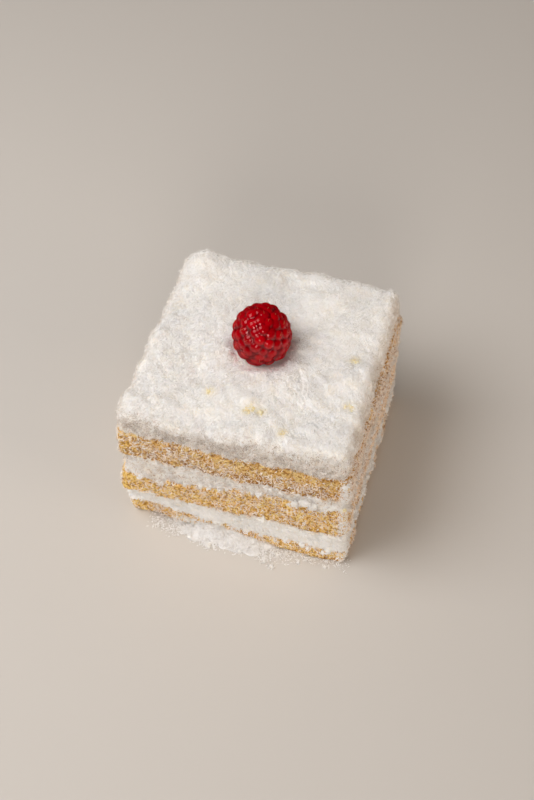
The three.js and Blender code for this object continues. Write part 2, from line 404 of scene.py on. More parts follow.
@dataclass(frozen=True)
class BerryFinish(Finish):
    """Raspberry flesh: wet, clear red, with painted shade in the creases."""

    name: str = "raspberry_flesh"
    bright: Colour = (0.42, 0.0006, 0.004, 1)
    deep: Colour = (0.15, 0.0005, 0.003, 1)
    bloom: Colour = (0.45, 0.003, 0.013, 1)
    # The dark red of the creases between drupelets is painted shade.
    crease: Colour = (0.16, 0.0005, 0.003, 1)
    bloom_size: float = 1.2
    dent_size: float = 0.8

    def surface(self, graph: Graph) -> Value:
        """Wet flesh, whose gloss fades where it turns away.

        Args:
            graph: The finish's tree.

        Returns:
            A mix of two shaders of the same colour.
        """
        wet = super().surface(graph)
        facing = graph.add("ShaderNodeLayerWeight", None, {"Blend": 0.5}).of("Facing")
        dry = {**self.dress(graph), "Roughness": 0.6, "Specular IOR Level": 0.0}
        turned = graph.add("ShaderNodeBsdfPrincipled", None, dry)
        return graph.add("ShaderNodeMixShader", None, {0: facing.step(0.4, 0.76), 1: wet, 2: turned})

    def flesh(self, graph: Graph) -> Value:
        """Colour by each drupelet's own tone, and darker away from its tip: painted shade in the creases.

        Args:
            graph: The finish's tree.

        Returns:
            The colour.
        """
        bloom = graph.noise(graph.place(), self.bloom_size).step(0.5, 0.8) * 0.35
        body = graph.blend(graph.mark("tone") * 0.5, self.bright, self.deep)
        body = graph.blend(bloom, body, self.bloom)
        return graph.blend(graph.mark("tip").step(0.62, 0.9), self.crease, body)

    def dress(self, graph: Graph) -> dict[str, Link]:
        """Make the flesh smooth and wet, with faint dents.

        Args:
            graph: The finish's tree.

        Returns:
            What each socket of the Principled shader takes.
        """
        return {
            "Base Color": self.flesh(graph),
            "Roughness": 0.06,
            "IOR": 1.52,
            "Specular IOR Level": 0.5,
            "Specular Tint": (1.0, 0.62, 0.62, 1.0),
            "Subsurface Weight": 0.2,
            "Subsurface Radius": (1.0, 0.1, 0.08),
            "Subsurface Scale": 1.5 * MM,
            "Normal": graph.bump(graph.noise(graph.place(), self.dent_size), 0.05, 0.12),
        }


@dataclass(frozen=True)
class HairFinish(Finish):
    """The dry golden hairs of a raspberry."""

    name: str = "berry_hair"
    root: Colour = (0.34, 0.12, 0.04, 1)
    end: Colour = (0.46, 0.27, 0.10, 1)

    def dress(self, graph: Graph) -> dict[str, Link]:
        """Colour each hair by its own tone."""
        colour = graph.blend(graph.mark("tone"), self.root, self.end)
        return {"Base Color": colour, "Roughness": 0.5, "Specular IOR Level": 0.4}


@dataclass(frozen=True)
class FloorFinish(Finish):
    """A plain pale table."""

    name: str = "pale_floor"
    colour: Colour = (0.62, 0.585, 0.54, 1)

    def dress(self, graph: Graph) -> dict[str, Link]:
        """One colour all over, matt."""
        return {"Base Color": self.colour, "Roughness": 0.85, "Specular IOR Level": 0.2}


@dataclass
class Shell:
    """Points and faces of a mesh in millimetres, with marks at its points."""

    points: Array
    faces: list[tuple[int, ...]]
    marks: Marks = field(default_factory=dict)

    def mesh(self, name: str, smooth: bool = True) -> bpy.types.Mesh:
        """Make the Blender mesh.

        Args:
            name: What the mesh is called.
            smooth: Whether its faces are shaded smooth.

        Returns:
            The mesh, in metres, with the marks as point attributes.
        """
        made = bpy.data.meshes.new(name)
        made.from_pydata((self.points * MM).tolist(), [], self.faces)
        for mark, values in self.marks.items():
            kind, slot = ("FLOAT_VECTOR", "vector") if values.ndim == 2 else ("FLOAT", "value")
            stored = made.attributes.new(mark, kind, "POINT")
            stored.data.foreach_set(slot, values.astype(np.float32).ravel())
        made.polygons.foreach_set("use_smooth", [smooth] * len(made.polygons))
        made.update()
        return made


def as_faces(numbers: Array) -> list[tuple[int, ...]]:
    """The rows of an array of point numbers, as faces."""
    return [tuple(face) for face in numbers.tolist()]


def ring_shell(rings: Array, foot: Sequence[float], crown: Sequence[float], marks: dict) -> Shell:
    """Close stacked rings into a shell.

    Args:
        rings: Points by ring, column and axis, anticlockwise from above and from the base up.
        foot: The middle of the underside.
        crown: The middle of the top.
        marks: Numbers by ring and column. The foot and the crown get 0.

    Returns:
        The closed shell, facing outwards.
    """
    count, columns = rings.shape[:2]
    points = np.concatenate([np.array([foot]), rings.reshape(-1, 3), np.array([crown])])
    number = 1 + np.arange(count * columns).reshape(count, columns)
    nearer = np.roll(number, -1, axis=1)
    sides = np.stack([number[:-1], nearer[:-1], nearer[1:], number[1:]], axis=-1).reshape(-1, 4)
    last = len(points) - 1
    faces = [(0, b, a) for a, b in zip(number[0].tolist(), nearer[0].tolist())]
    faces += as_faces(sides)
    faces += [(last, a, b) for a, b in zip(number[-1].tolist(), nearer[-1].tolist())]
    spread = {mark: np.concatenate([[0.0], values.ravel(), [0.0]]) for mark, values in marks.items()}
    return Shell(points, faces, spread)


def smooth_step(value: Array, low: float, high: float) -> Array:
    """Rise smoothly from 0 where the value is `low` to 1 where it is `high`."""
    share = np.clip((value - low) / (high - low), 0, 1)
    return share * share * (3 - 2 * share)


def new_piece(name: str, mesh: bpy.types.Mesh) -> bpy.types.Object:
    """Put a mesh in the scene.

    Args:
        name: What the piece is called.
        mesh: Its mesh.

    Returns:
        The piece, at the origin.
    """
    piece = bpy.data.objects.new(name, mesh)
    bpy.context.scene.collection.objects.link(piece)
    return piece


def dressed(name: str, mesh: bpy.types.Mesh, finish: Finish) -> bpy.types.Object:
    """Put a mesh in the scene, dressed in a finish."""
    mesh.materials.append(finish.material())
    return new_piece(name, mesh)


def unit_ball(subdivisions: int) -> tuple[Array, Array]:
    """A ball of radius 1.

    Args:
        subdivisions: How fine it is.

    Returns:
        Its points, and its triangles by their points' numbers.
    """
    ball = bmesh.new()
    bmesh.ops.create_icosphere(ball, subdivisions=subdivisions, radius=1)
    points = np.array([vertex.co[:] for vertex in ball.verts])
    triangles = np.array([[vertex.index for vertex in face.verts] for face in ball.faces])
    ball.free()
    return points, triangles


class Recipe:
    """A Geometry Nodes tree with named inputs, run once on a mesh, which dresses what it makes."""

    KINDS = {float: "NodeSocketFloat", int: "NodeSocketInt", tuple: "NodeSocketVector"}

    def __init__(self, name: str, inputs: dict[str, object], finish: Finish) -> None:
        """Make the tree and its sockets.

        Args:
            name: What the tree is called.
            inputs: The value that each named input takes.
            finish: What the result is dressed in, one more input.
        """
        tree = bpy.data.node_groups.new(name, "GeometryNodeTree")
        tree.interface.new_socket("Geometry", in_out="OUTPUT", socket_type="NodeSocketGeometry")
        tree.interface.new_socket("Geometry", in_out="INPUT", socket_type="NodeSocketGeometry")
        self.values: dict[str, object] = {}
        for label, value in {**inputs, "Finish": finish.material()}.items():
            kind = self.KINDS.get(type(value), f"NodeSocket{type(value).__name__}")
            socket = tree.interface.new_socket(label, in_out="INPUT", socket_type=kind)
            self.values[socket.identifier] = value
        self.graph = Graph(tree)
        self.start = self.graph.add("NodeGroupInput")

    def given(self, label: str) -> Value:
        """The value of a named input."""
        return self.start.of(label)

    def done(self, geometry: Value) -> None:
        """End the tree: instances become mesh, and all of it is dressed.

        Args:
            geometry: What the tree has made.
        """
        realized = self.graph.add("GeometryNodeRealizeInstances", None, {"Geometry": geometry})
        sockets = {"Geometry": realized, "Material": self.given("Finish")}
        finished = self.graph.add("GeometryNodeSetMaterial", None, sockets)
        self.graph.add("NodeGroupOutput", None, {"Geometry": finished})

    def run(self, mesh: bpy.types.Mesh) -> bpy.types.Mesh:
        """Run the tree on a mesh.

        Args:
            mesh: What goes in. It isn't changed.

        Returns:
            A plain mesh of what comes out.
        """
        holder = new_piece("recipe_holder", mesh)
        modifier = holder.modifiers.new("recipe", "NODES")
        modifier.node_group = self.graph.tree
        for identifier, value in self.values.items():
            modifier[identifier] = value
        holder.update_tag()
        depsgraph = bpy.context.evaluated_depsgraph_get()
        made = bpy.data.meshes.new_from_object(holder.evaluated_get(depsgraph), depsgraph=depsgraph)
        holder.modifiers.remove(modifier)
        bpy.data.objects.remove(holder)
        return made


@dataclass(frozen=True)
class Relief:
    """Pores and lumps pressed into a surface along its normal, where the mesh is marked `side`."""

    name: str
    pore_depth: float
    pore_size: float
    lump_depth: float
    lump_size: float
    grain_depth: float
    grain_size: float
    seed: int

    def apply(self, mesh: bpy.types.Mesh, finish: Finish) -> bpy.types.Mesh:
        """Press the relief into a mesh.

        Args:
            mesh: The smooth form, with a `side` mark.
            finish: What it is dressed in.

        Returns:
            The uneven form, with a `pore` mark from 0 on the walls to 1 in the pores.
        """
        inputs = {
            "Pore depth": self.pore_depth * MM,
            "Pore size": self.pore_size * MM,
            "Lump depth": self.lump_depth * MM,
            "Lump size": self.lump_size * MM,
            "Grain depth": self.grain_depth * MM,
            "Grain size": self.grain_size * MM,
            "Seed": float(self.seed),
        }
        recipe = Recipe(self.name, inputs, finish)
        graph, given = recipe.graph, recipe.given
        seed, side = given("Seed"), graph.carried("side")
        lump, grain = ((graph.cloud(given(size), seed) - 0.5) * 2.0 for size in ("Lump size", "Grain size"))
        cell = graph.add(
            "ShaderNodeTexVoronoi",
            {"voronoi_dimensions": "4D", "feature": "F1"},
            {"Vector": graph.position(), "W": seed, "Scale": 1.0 / given("Pore size")},
        ).of("Distance")
        hole = (1.0 - cell.step(0.2, 0.55)) * (lump * 0.6 + 0.8)
        push = lump * given("Lump depth") + grain * given("Grain depth") - hole * given("Pore depth")
        offset = graph.scaled(graph.add("GeometryNodeInputNormal"), push * side)
        recipe.done(graph.keep(graph.moved(recipe.start, offset), "POINT", "pore", hole * side))
        return recipe.run(mesh)


@dataclass(frozen=True)
class Shred:
    """A few closed slivers, one unit long, wide and thick, which the scatter scales to size.

    They lie along X, or stand along Z and are shaded smooth.
    """

    name: str = "shred_shapes"
    variants: int = 6
    bend: float = 0.55
    seed: int = 5
    standing: bool = False

    def collection(self) -> bpy.types.Collection:
        """Make the slivers.

        Returns:
            The collection that holds them, which isn't in the scene.
        """
        made = bpy.data.collections.new(self.name)
        draw = np.random.default_rng(self.seed)
        for number in range(self.variants):
            label = f"{self.name}_{number}"
            mesh = self.sliver(draw).mesh(label, smooth=self.standing)
            made.objects.link(bpy.data.objects.new(label, mesh))
        return made

    def sliver(self, draw: np.random.Generator) -> Shell:
        """One bent sliver of three sides, widest near its middle.

        Args:
            draw: Random numbers.

        Returns:
            Its closed shell. Its unit is a metre, so that a scale is its size in metres.
        """
        along, swing, bow, turn = draw.uniform((-0.25, -1, -1, 0), (0.25, 1, 1, 2 * math.pi))
        turns = turn + np.arange(3) * 2 * math.pi / 3
        waist = np.stack([np.full(3, along), 0.5 * np.cos(turns), 0.5 * np.sin(turns)], axis=-1)
        waist += np.array([0, self.bend * swing, self.bend * bow])
        points = np.concatenate([[[-0.5, 0, 0]], waist, [[0.5, 0, 0]]]) / MM
        if self.standing:
            points = points[:, [2, 1, 0]] * np.array([1, -1, 1])
        faces = [(0, 2, 1), (0, 3, 2), (0, 1, 3), (4, 1, 2), (4, 2, 3), (4, 3, 1)]
        return Shell(points, faces)


@dataclass(frozen=True)
class Scatter:
    """Small shapes strewn over a surface, or set on points.

    shortest and longest are the limits of each shape's size along its own X, Y and Z in millimetres. density
    is how many lie on a square millimetre where the surface is marked `cover` 1. lift is the largest tilt off
    the surface in degrees, and rise is how far out they may lie. clump is the size of the heaps they gather
    in, and clump_share is how strongly they do. soften is how far their shading turns towards that of the
    surface, as it does in a soft pile, where the surface isn't marked `dull`.
    """

    name: str
    density: float
    shortest: Triple
    longest: Triple
    lift: float
    rise: Pair
    seed: int
    clump: float = 4.0
    clump_share: float = 0.0
    soften: float = 0.0
    spread: Spread = Spread.FACES

    def strew(self, carrier: bpy.types.Mesh, shapes: bpy.types.Collection, finish: Finish) -> bpy.types.Mesh:
        """Strew the shapes.

        Args:
            carrier: The surface with its `cover` mark, or points with a `way` mark for which way is out.
            shapes: The shapes to draw from.
            finish: What they are dressed in.

        Returns:
            One mesh of all the shapes, none of it below the floor. Its `tone` mark, from 0 to 1, differs from
            shape to shape.
        """
        inputs = {
            "Shapes": shapes,
            "Density": self.density / (MM * MM),
            "Shortest": tuple(length * MM for length in self.shortest),
            "Longest": tuple(length * MM for length in self.longest),
            "Lift": math.radians(self.lift),
            "Lowest": self.rise[0] * MM,
            "Highest": self.rise[1] * MM,
            "Clump size": self.clump * MM,
            "Clump share": self.clump_share,
            "Soften": self.soften,
            "Floor": FLOOR_GAP * MM,
            "Seed": self.seed,
        }
        recipe = Recipe(self.name, inputs, finish)
        graph, given = recipe.graph, recipe.given
        seed, share = given("Seed"), given("Clump share")
        heap = 1.0 - share + share * 2.0 * graph.cloud(given("Clump size"), seed).step(0.4, 0.64)
        if self.spread is Spread.FACES:
            density = given("Density") * graph.carried("cover") * heap
            sockets = {"Mesh": recipe.start, "Density": density, "Seed": seed}
            points = graph.add("GeometryNodeDistributePointsOnFaces", None, sockets)
            out = points.of("Normal")
        else:
            points, out = recipe.start, graph.carried("way", "FLOAT_VECTOR")

        def draw(kind: str, least: Link, most: Link, number: int) -> Value:
            """A random value for each shape."""
            sockets = {"Min": least, "Max": most, "Seed": seed + float(number)}
            return graph.add("FunctionNodeRandomValue", {"data_type": kind}, sockets)

        raised = draw("FLOAT", given("Lowest"), given("Highest"), 1) * heap
        points = graph.moved(points, graph.scaled(out, raised))
        lean = given("Lift")
        back = graph.add("ShaderNodeCombineXYZ", None, {"X": lean * -1.0, "Y": lean * -1.0, "Z": -math.pi})
        forth = graph.add("ShaderNodeCombineXYZ", None, {"X": lean, "Y": lean, "Z": math.pi})
        turn = graph.add("FunctionNodeEulerToRotation", None, {"Euler": draw("FLOAT_VECTOR", back, forth, 2)})
        upright = graph.add("FunctionNodeAlignRotationToVector", {"axis": "Z"}, {"Vector": out})
        sockets = {"Rotation": upright, "Rotate By": turn}
        turned = graph.add("FunctionNodeRotateRotation", {"rotation_space": "LOCAL"}, sockets)
        sockets = {"Collection": given("Shapes"), "Separate Children": True, "Reset Children": True}
        sockets = {
            "Points": points,
            "Instance": graph.add("GeometryNodeCollectionInfo", None, sockets),
            "Pick Instance": True,
            "Instance Index": draw("INT", 0, len(shapes.objects) - 1, 3),
            "Rotation": turned,
            "Scale": draw("FLOAT_VECTOR", given("Shortest"), given("Longest"), 4),
        }
        laid = graph.add("GeometryNodeInstanceOnPoints", None, sockets)
        laid = graph.keep(laid, "INSTANCE", "tone", draw("FLOAT", 0.0, 1.0, 5))
        laid = graph.keep(laid, "INSTANCE", "pile", out, "FLOAT_VECTOR")
        laid = graph.add("GeometryNodeRealizeInstances", None, {"Geometry": laid})
        ways = {
            "Factor": given("Soften") * (1.0 - graph.carried("dull")),
            "A": graph.add("GeometryNodeInputNormal"),
            "B": graph.carried("pile", "FLOAT_VECTOR"),
        }
        sockets = {"Mesh": laid, "Custom Normal": graph.add("ShaderNodeMix", {"data_type": "VECTOR"}, ways)}
        laid = graph.add("GeometryNodeSetMeshNormal", {"mode": "FREE", "domain": "FACE"}, sockets)
        laid = graph.add("GeometryNodeRemoveAttribute", None, {"Geometry": laid, "Name": "pile"})
        height = graph.add("ShaderNodeSeparateXYZ", None, {"Vector": graph.position()}).of("Z")
        sunk = height.math("MAXIMUM", given("Floor") - height, 0.0)
        recipe.done(graph.moved(laid, graph.add("ShaderNodeCombineXYZ", None, {"Z": sunk})))
        return recipe.run(carrier)


@dataclass(frozen=True)
class Layer:
    """One layer of the cake.

    thickness is at the middle, tilt is how far its top rises past the bend, and wave shifts the waves in its
    top. corners is how far its corners have moved from the true square, in x and y: front left, front right,
    back right and back left.
    """

    node: str
    food: Food
    thickness: float
    tilt: float
    wave: float
    corners: tuple[Pair, ...]


@dataclass(frozen=True)
class Heap:
    """A heap or hollow in the top."""

    x: float
    y: float
    height: float
    reach: float


@dataclass(frozen=True)
class Patch:
    """A patch of the front face, by its middle and reach, where coconut lies as thickly as `cover` says."""

    x: float
    height: float
    across: float
    upright: float
    cover: float


@dataclass(frozen=True)
class Wave:
    """Smooth unevenness, by its height, its length and what shifts it."""

    height: float
    length: float
    seed: float


@dataclass(frozen=True)
class CakeForm:
    """The cake's main form, the same as its solids have."""

    side: float = 76.0
    upright_radius: float = 2.5
    top_round: float = 3.6
    tightest_radius: float = 0.8
    arris: float = 0.7
    bend_x: float = -9.0
    bend_reach: float = 14.0
    ripple: float = 0.9
    ripple_length: float = 34.0
    crag_length: float = 19.0
    lump: float = 0.55
    lump_length: float = 21.0
    lump_seed: float = 11.0
    seat: Pair = (-1.1, 0.9)
    seat_radius: float = 8.6
    seat_edge: float = 3.4
    seat_depth: float = 1.1
    proud: tuple[tuple[Food, float], ...] = ((Food.SPONGE, 0.3), (Food.CREAM, -0.7), (Food.TOPPING, 0.1))
    crag: tuple[tuple[Food, float], ...] = ((Food.SPONGE, 0.6), (Food.CREAM, 0.5), (Food.TOPPING, 0.5))
    layers: tuple[Layer, ...] = (
        Layer(
            "sponge_bottom", Food.SPONGE, 6.5, -1.8, 21.3, ((-0.8, 2.1), (0.7, -1.1), (0.7, 0.3), (-0.8, 0.3))
        ),
        Layer("cream_lower", Food.CREAM, 7.7, -0.1, 20.7, ((-0.3, 0.6), (0.8, -0.4), (1.0, 0), (-0.3, 0))),
        Layer("sponge_middle", Food.SPONGE, 11.7, 2.8, 24.8, ((-1.6, 0), (0.3, 0), (0.9, 0), (-1.6, 0))),
        Layer("cream_upper", Food.CREAM, 7.9, 0.0, 17.5, ((-0.3, 0), (0.8, 0), (1.0, 0), (-0.3, 0))),
        Layer("sponge_top", Food.SPONGE, 11.5, -0.5, 10.4, ((-1.6, 0), (0.3, 0), (0.9, 0), (-1.4, 0))),
        Layer("cream_top", Food.TOPPING, 10.9, 0.5, 16.7, ((-0.6, 0), (-0.6, 0), (-0.6, 0.7), (0.7, 0.7))),
    )
    heaps: tuple[Heap, ...] = (
        Heap(-31.0, 34.5, 3.0, 5.5),
        Heap(-12.0, 36.0, 0.6, 12.0),
        Heap(18.0, 34.0, 1.1, 11.0),
        Heap(-35.0, -34.0, 1.1, 7.0),
        Heap(-15.0, -36.0, -1.0, 9.0),
        Heap(30.0, -32.0, 1.0, 9.0),
    )
    crumbs: tuple[Pair, ...] = (
        (2.9, -24.9),
        (1.7, -26.5),
        (6.4, -25.6),
        (15.1, -31.9),
        (33.1, -16.5),
        (30.2, 2.8),
        (-12.0, -22.0),
        (-3.0, 13.5),
    )

    @property
    def half(self) -> float:
        """Half the cake's side."""
        return self.side / 2

    @staticmethod
    def unevenness(x: Array, y: Array, z: Array, length: float, seed: float) -> Array:
        """Smooth waves between -1 and 1.

        Args:
            x: Places along X.
            y: Places along Y.
            z: Places along Z.
            length: The wave's length.
            seed: What shifts the waves.

        Returns:
            The mean of three crossing waves.
        """
        turn = 2 * math.pi / length
        first = np.sin(turn * (0.9 * x + 0.45 * y + 0.6 * z) + 1.7 * seed)
        second = np.sin(turn * (-0.5 * x + 1.15 * y - 0.8 * z) + 2.9 * seed + 1)
        third = np.sin(turn * (1.45 * x - 1.3 * y + 1.2 * z) + 4.3 * seed + 2)
        return (first + second + third) / 3

    def waves(
        self, place: Sequence[Array], waves: Sequence[Wave], start: Array | float = 0.0, shift: float = 0.0
    ) -> Array:
        """Several waves added up.

        Args:
            place: Places along X, Y and Z.
            waves: The waves.
            start: What they are added to.
            shift: What else shifts each of them.

        Returns:
            The sum at each place.
        """
        total = start
        for wave in waves:
            total = total + wave.height * self.unevenness(*place, wave.length, wave.seed + shift)
        return total

    def meeting(self, level: int, x: Array, y: Array) -> Array:
        """Where one layer ends and the next begins.

        Args:
            level: The lower layer's number from the base, or -1 for the base itself.
            x: Places along X.
            y: Places along Y.

        Returns:
            The height at each place.
        """
        if level < 0:
            return np.zeros_like(x)
        layer = self.layers[level]
        below = sum(each.thickness for each in self.layers[: level + 1])
        slope = layer.tilt * np.tanh((x - self.bend_x) / self.bend_reach)
        return below + slope + self.ripple * self.unevenness(x, y, 0 * x, self.ripple_length, layer.wave)

    def meeting_at(self, level: int, x: float, y: float) -> float:
        """The height where one layer ends and the next begins, at one place."""
        return float(self.meeting(level, np.array([x]), np.array([y]))[0])

    def seat_height(self) -> float:
        """Height of the hollow that the berry has pressed."""
        return self.meeting_at(len(self.layers) - 1, *self.seat) - self.seat_depth

    def top(self, x: Array, y: Array) -> Array:
        """The cake's top, with its heaps and the berry's seat.

        Args:
            x: Places along X.
            y: Places along Y.

        Returns:
            The height at each place.
        """
        height = self.meeting(len(self.layers) - 1, x, y)
        height = height + self.lump * self.unevenness(x, y, 0 * x, self.lump_length, self.lump_seed)
        for heap in self.heaps:
            height = height + heap.height * np.exp(-((x - heap.x) ** 2 + (y - heap.y) ** 2) / heap.reach**2)
        away = np.hypot(x - self.seat[0], y - self.seat[1]) - self.seat_radius
        share = smooth_step(away, 0, self.seat_edge)
        return self.seat_height() * (1 - share) + height * share

    def edge(self, half: float, radius: float, steps: tuple[int, int]) -> tuple[Array, Array]:
        """The rounded square in plan, anticlockwise from the front left.

        Args:
            half: Half its side.
            radius: The radius of its corners.
            steps: How many columns a side and a corner have.

        Returns:
            Each column's point, and the way out of it.
        """
        straight = half - radius
        points, ways = [], []
        for side in range(4):
            turn = side * math.pi / 2
            along = np.array([math.cos(turn), math.sin(turn)])
            out = np.array([along[1], -along[0]])
            places = np.linspace(-straight, straight, steps[0], endpoint=False)
            points.append(places[:, None] * along + half * out)
            ways.append(np.repeat(out[None], len(places), axis=0))
            angles = np.linspace(0, math.pi / 2, steps[1], endpoint=False)
            around = np.cos(angles)[:, None] * out + np.sin(angles)[:, None] * along
            points.append(straight * (along + out) + radius * around)
            ways.append(around)
        return np.concatenate(points), np.concatenate(ways)

    def plan(self, level: int, steps: tuple[int, int]) -> tuple[Array, Array]:
        """One layer's plan: the square with each corner of the layer where it has moved to.

        Args:
            level: The layer's number from the base.
            steps: How many columns a side and a corner have.

        Returns:
            Each column's point, and the way out of it.
        """
        points, ways = self.edge(self.half, self.upright_radius, steps)
        right, back = ((points / self.half + 1) / 2).T
        left, front = 1 - right, 1 - back
        shares = np.stack([left * front, right * front, right * back, left * back], axis=-1)
        return points + shares @ np.array(self.layers[level].corners, float), ways

    def ragged(self, level: int, length: float, steps: tuple[int, int]) -> Array:
        """How ragged a layer's lower and upper edges are.

        Args:
            level: The layer's number from the base.
            length: The spacing of the rags.
            steps: How many columns a side and a corner have.

        Returns:
            A number from 0 to 1 for each column, in a row for each edge.
        """
        x, y = self.plan(level, steps)[0].T
        waves = [
            self.unevenness(x, y, 0 * x, length, level + end)
            + 0.6 * self.unevenness(x, y, 0 * x, length * 0.37, level + end)
            for end in (0.4, 7.9)
        ]
        return np.clip(np.stack(waves), 0, 1)

    def side_ring(
        self, level: int, share: float, swell: float | Array, grow: Array, steps: tuple[int, int]
    ) -> Array:
        """One ring of a layer's side.

        Args:
            level: The layer's number from the base.
            share: How far up the layer the ring is, from 0 to 1.
            swell: How far it stands out from the solid's side.
            grow: How far each column reaches past the layer's underside and past its top, in two rows.
            steps: How many columns a side and a corner have.

        Returns:
            The ring's points.
        """
        layer = self.layers[level]
        plan, out = self.plan(level, steps)
        x, y = plan.T
        low = np.maximum(self.meeting(level - 1, x, y) - grow[0], 0)
        height = low + share * (self.meeting(level, x, y) + grow[1] - low)
        bulge = dict(self.crag)[layer.food] * self.unevenness(x, y, height, self.crag_length, level)
        reach = dict(self.proud)[layer.food] + bulge + swell
        return np.stack([x + out[:, 0] * reach, y + out[:, 1] * reach, height], axis=-1)


def layer_piece(node: str, ending: str, form: Shell, relief: Relief, finish: Finish) -> bpy.types.Object:
    """Make and dress a layer.

    Args:
        node: The CAD node that it stands for.
        ending: What its name has after the node's.
        form: Its smooth form.
        relief: What is pressed into the form.
        finish: What it is dressed in.

    Returns:
        The piece.
    """
    piece = new_piece(f"{node}_{ending}", relief.apply(form.mesh(node + "_form"), finish))
    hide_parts(node)
    return piece


@dataclass
class Sheet:
    """A sheet of sponge that runs right through the cake.

    A pair such as front, hem or whitening is where a change begins and where it is complete.
    """

    form: CakeForm
    level: int
    finish: Finish
    relief: Relief
    cover: float = 0.9
    warm: float = 1.0
    steps: tuple[int, int] = COLUMNS
    row: float = 0.34
    wear_height: float = 1.3
    corner_cover: float = 3.2
    corner_reach: Pair = (2.8, 1.2)
    right_cover: float = 2.2
    skin_reach: Pair = (2.0, 0.4)
    rag: float = 1.2
    rag_length: float = 5.0
    # How far the coconut is greyed as painted shade, on the whole side and on the right face, which lies in
    # shade.
    dull: float = 0.0
    right_dull: float = 0.0
    ledge: Pair = (1.3, 1.6)
    ledge_cover: float = 2.6
    front_ledge: float = 1.0
    front: Pair = (-34.0, -36.0)
    right_edge: Pair = (35.5, 37.0)
    right_face: Pair = (36.0, 37.5)
    gold_end: Pair = (-29.0, -36.0)
    gold_front: Pair = (-30.0, -34.0)
    whitening: Pair = (1.5, 3.0)
    hem: Pair = (0.6, 1.3)
    patch_mean: float = 0.95
    patch_least: float = 0.4
    patch_waves: tuple[Wave, ...] = (Wave(0.7, 14.0, 3.0), Wave(0.6, 5.0, 5.0))
    patches: tuple[Patch, ...] = (
        Patch(16, 43.6, 26, 2.2, 0.0),
        Patch(-37, 38, 3.5, 3.5, 0.25),
        Patch(-24, 39.5, 8, 4, 1.7),
        Patch(-4, 36.5, 9, 2.5, 1.1),
        Patch(24, 38, 12, 3, 1.2),
        Patch(25, 31, 6, 2.5, 3.0),
        Patch(-36, 22, 4, 3, 0.3),
        Patch(-24, 18, 6, 2, 0.4),
        Patch(20, 22.5, 14, 4, 0.85),
        Patch(32, 16.5, 5, 2, 0.3),
        Patch(22, 10.5, 12, 2.5, 0.8),
        Patch(-34, 4, 7, 3, 0.35),
        Patch(-14, 4, 10, 5, 4.2),
        Patch(2, 4, 8, 5, 3.6),
        Patch(26, 3, 11, 2.5, 0.35),
        Patch(-24, 5.0, 2.2, 1.4, 0.2),
        Patch(-17.5, 5.6, 4, 1.2, 0.25),
        Patch(-10, 4.9, 2.4, 1.6, 0.1),
        Patch(-3.2, 4.0, 2.0, 1.5, 0.15),
        Patch(4.5, 4.4, 3.2, 2.0, 0.35),
    )

    def grow(self) -> Array:
        """How far each column reaches past the layer's underside and past its top: a torn edge."""
        return self.rag * self.form.ragged(self.level, self.rag_length, self.steps)

    def swell(self, share: float, grow: Array) -> float | Array:
        """How far the side stands out from the solid's at a share of its height: worn back at its edges."""
        near = min(share, 1 - share) * self.form.layers[self.level].thickness / self.wear_height
        return -self.form.arris * max(0.0, 1 - near) ** 2

    def shell(self) -> Shell:
        """The sheet's smooth form.

        Returns:
            Fine rows up its sides and a ledge round its top, closed.
        """
        form, thickness, grow = self.form, self.form.layers[self.level].thickness, self.grow()
        shares = np.linspace(0, 1, round(thickness / self.row) + 1)
        rings = []
        for share in shares:
            rings.append(form.side_ring(self.level, share, self.swell(share, grow), grow, self.steps))
        out = form.plan(self.level, self.steps)[1]
        rings += [rings[-1] - inward * np.column_stack([out, 0 * out[:, 0]]) for inward in self.ledge]
        heights = np.append(shares, np.ones(len(self.ledge))) * thickness
        stack = np.stack(rings)
        foot, crown = (form.meeting_at(level, 0.0, 0.0) for level in (self.level - 1, self.level))
        return ring_shell(stack, (0, 0, foot), (0, 0, crown), self.marks(stack, heights))

    def marks(self, stack: Array, heights: Array) -> Marks:
        """The marks at the form's points. The last three rings are the top edge and the ledge.

        Args:
            stack: The points by ring and column.
            heights: How far up the sheet each ring is.

        Returns:
            Numbers for relief, coconut and colour, by ring and column.
        """
        x, y = stack[..., 0], stack[..., 1]
        cover = self.covering(stack)
        right = smooth_step(x, *self.right_edge) * (1 - self.corner_share(stack))
        white = smooth_step(cover, *self.whitening) * (1 - right)
        bare = (1 - self.front_ledge) * smooth_step(y[-3:-1], *self.front)
        cover[-3:-1] = self.ledge_cover * (1 - bare)
        cover[[0, -1]] = 0
        side = np.ones(x.shape)
        side[[0, -3, -2, -1]] = 0
        return {
            "side": side,
            "cover": cover,
            "warm": self.warm * (0.8 + 0.05 * right) * (1 - white),
            # Painted shade: greys the coconut, on the right face by its own share.
            "dull": self.dull * (1 - right) + self.right_dull * right,
            "gold": smooth_step(x, *self.gold_end) * smooth_step(y, *self.gold_front),
            "skin": smooth_step(heights[:, None] + 0 * x, *self.skin_reach),
        }

    def covering(self, points: Array) -> Array:
        """How thickly coconut lies at each point of the side.

        Args:
            points: The side's points by ring and column.

        Returns:
            The cover, patchy, thick at the front right corner, and thicker on the right than elsewhere.
        """
        x, y, z = np.moveaxis(points, -1, 0)
        patch = self.form.waves((x, y, z), self.patch_waves, self.patch_mean, self.level)
        patch = np.clip(patch, self.patch_least, None)
        right = 1 + (self.right_cover - 1) * smooth_step(x, *self.right_face)
        cover = self.cover * patch * right
        front = smooth_step(y, *self.front)
        for spot in self.patches:
            across, upright = (x - spot.x) / spot.across, (z - spot.height) / spot.upright
            share = front * np.exp(-(across**2) - upright**2)
            cover += share * (spot.cover * (0.6 + 0.4 * patch) - cover)
        corner = self.corner_share(points)
        return (cover * (1 - corner) + self.corner_cover * corner) * smooth_step(z, *self.hem)

    def corner_share(self, points: Array) -> Array:
        """How near each point is to the front right corner, from 0 to 1."""
        away = np.hypot(points[..., 0] - self.form.half, points[..., 1] + self.form.half)
        return smooth_step(away, *self.corner_reach)

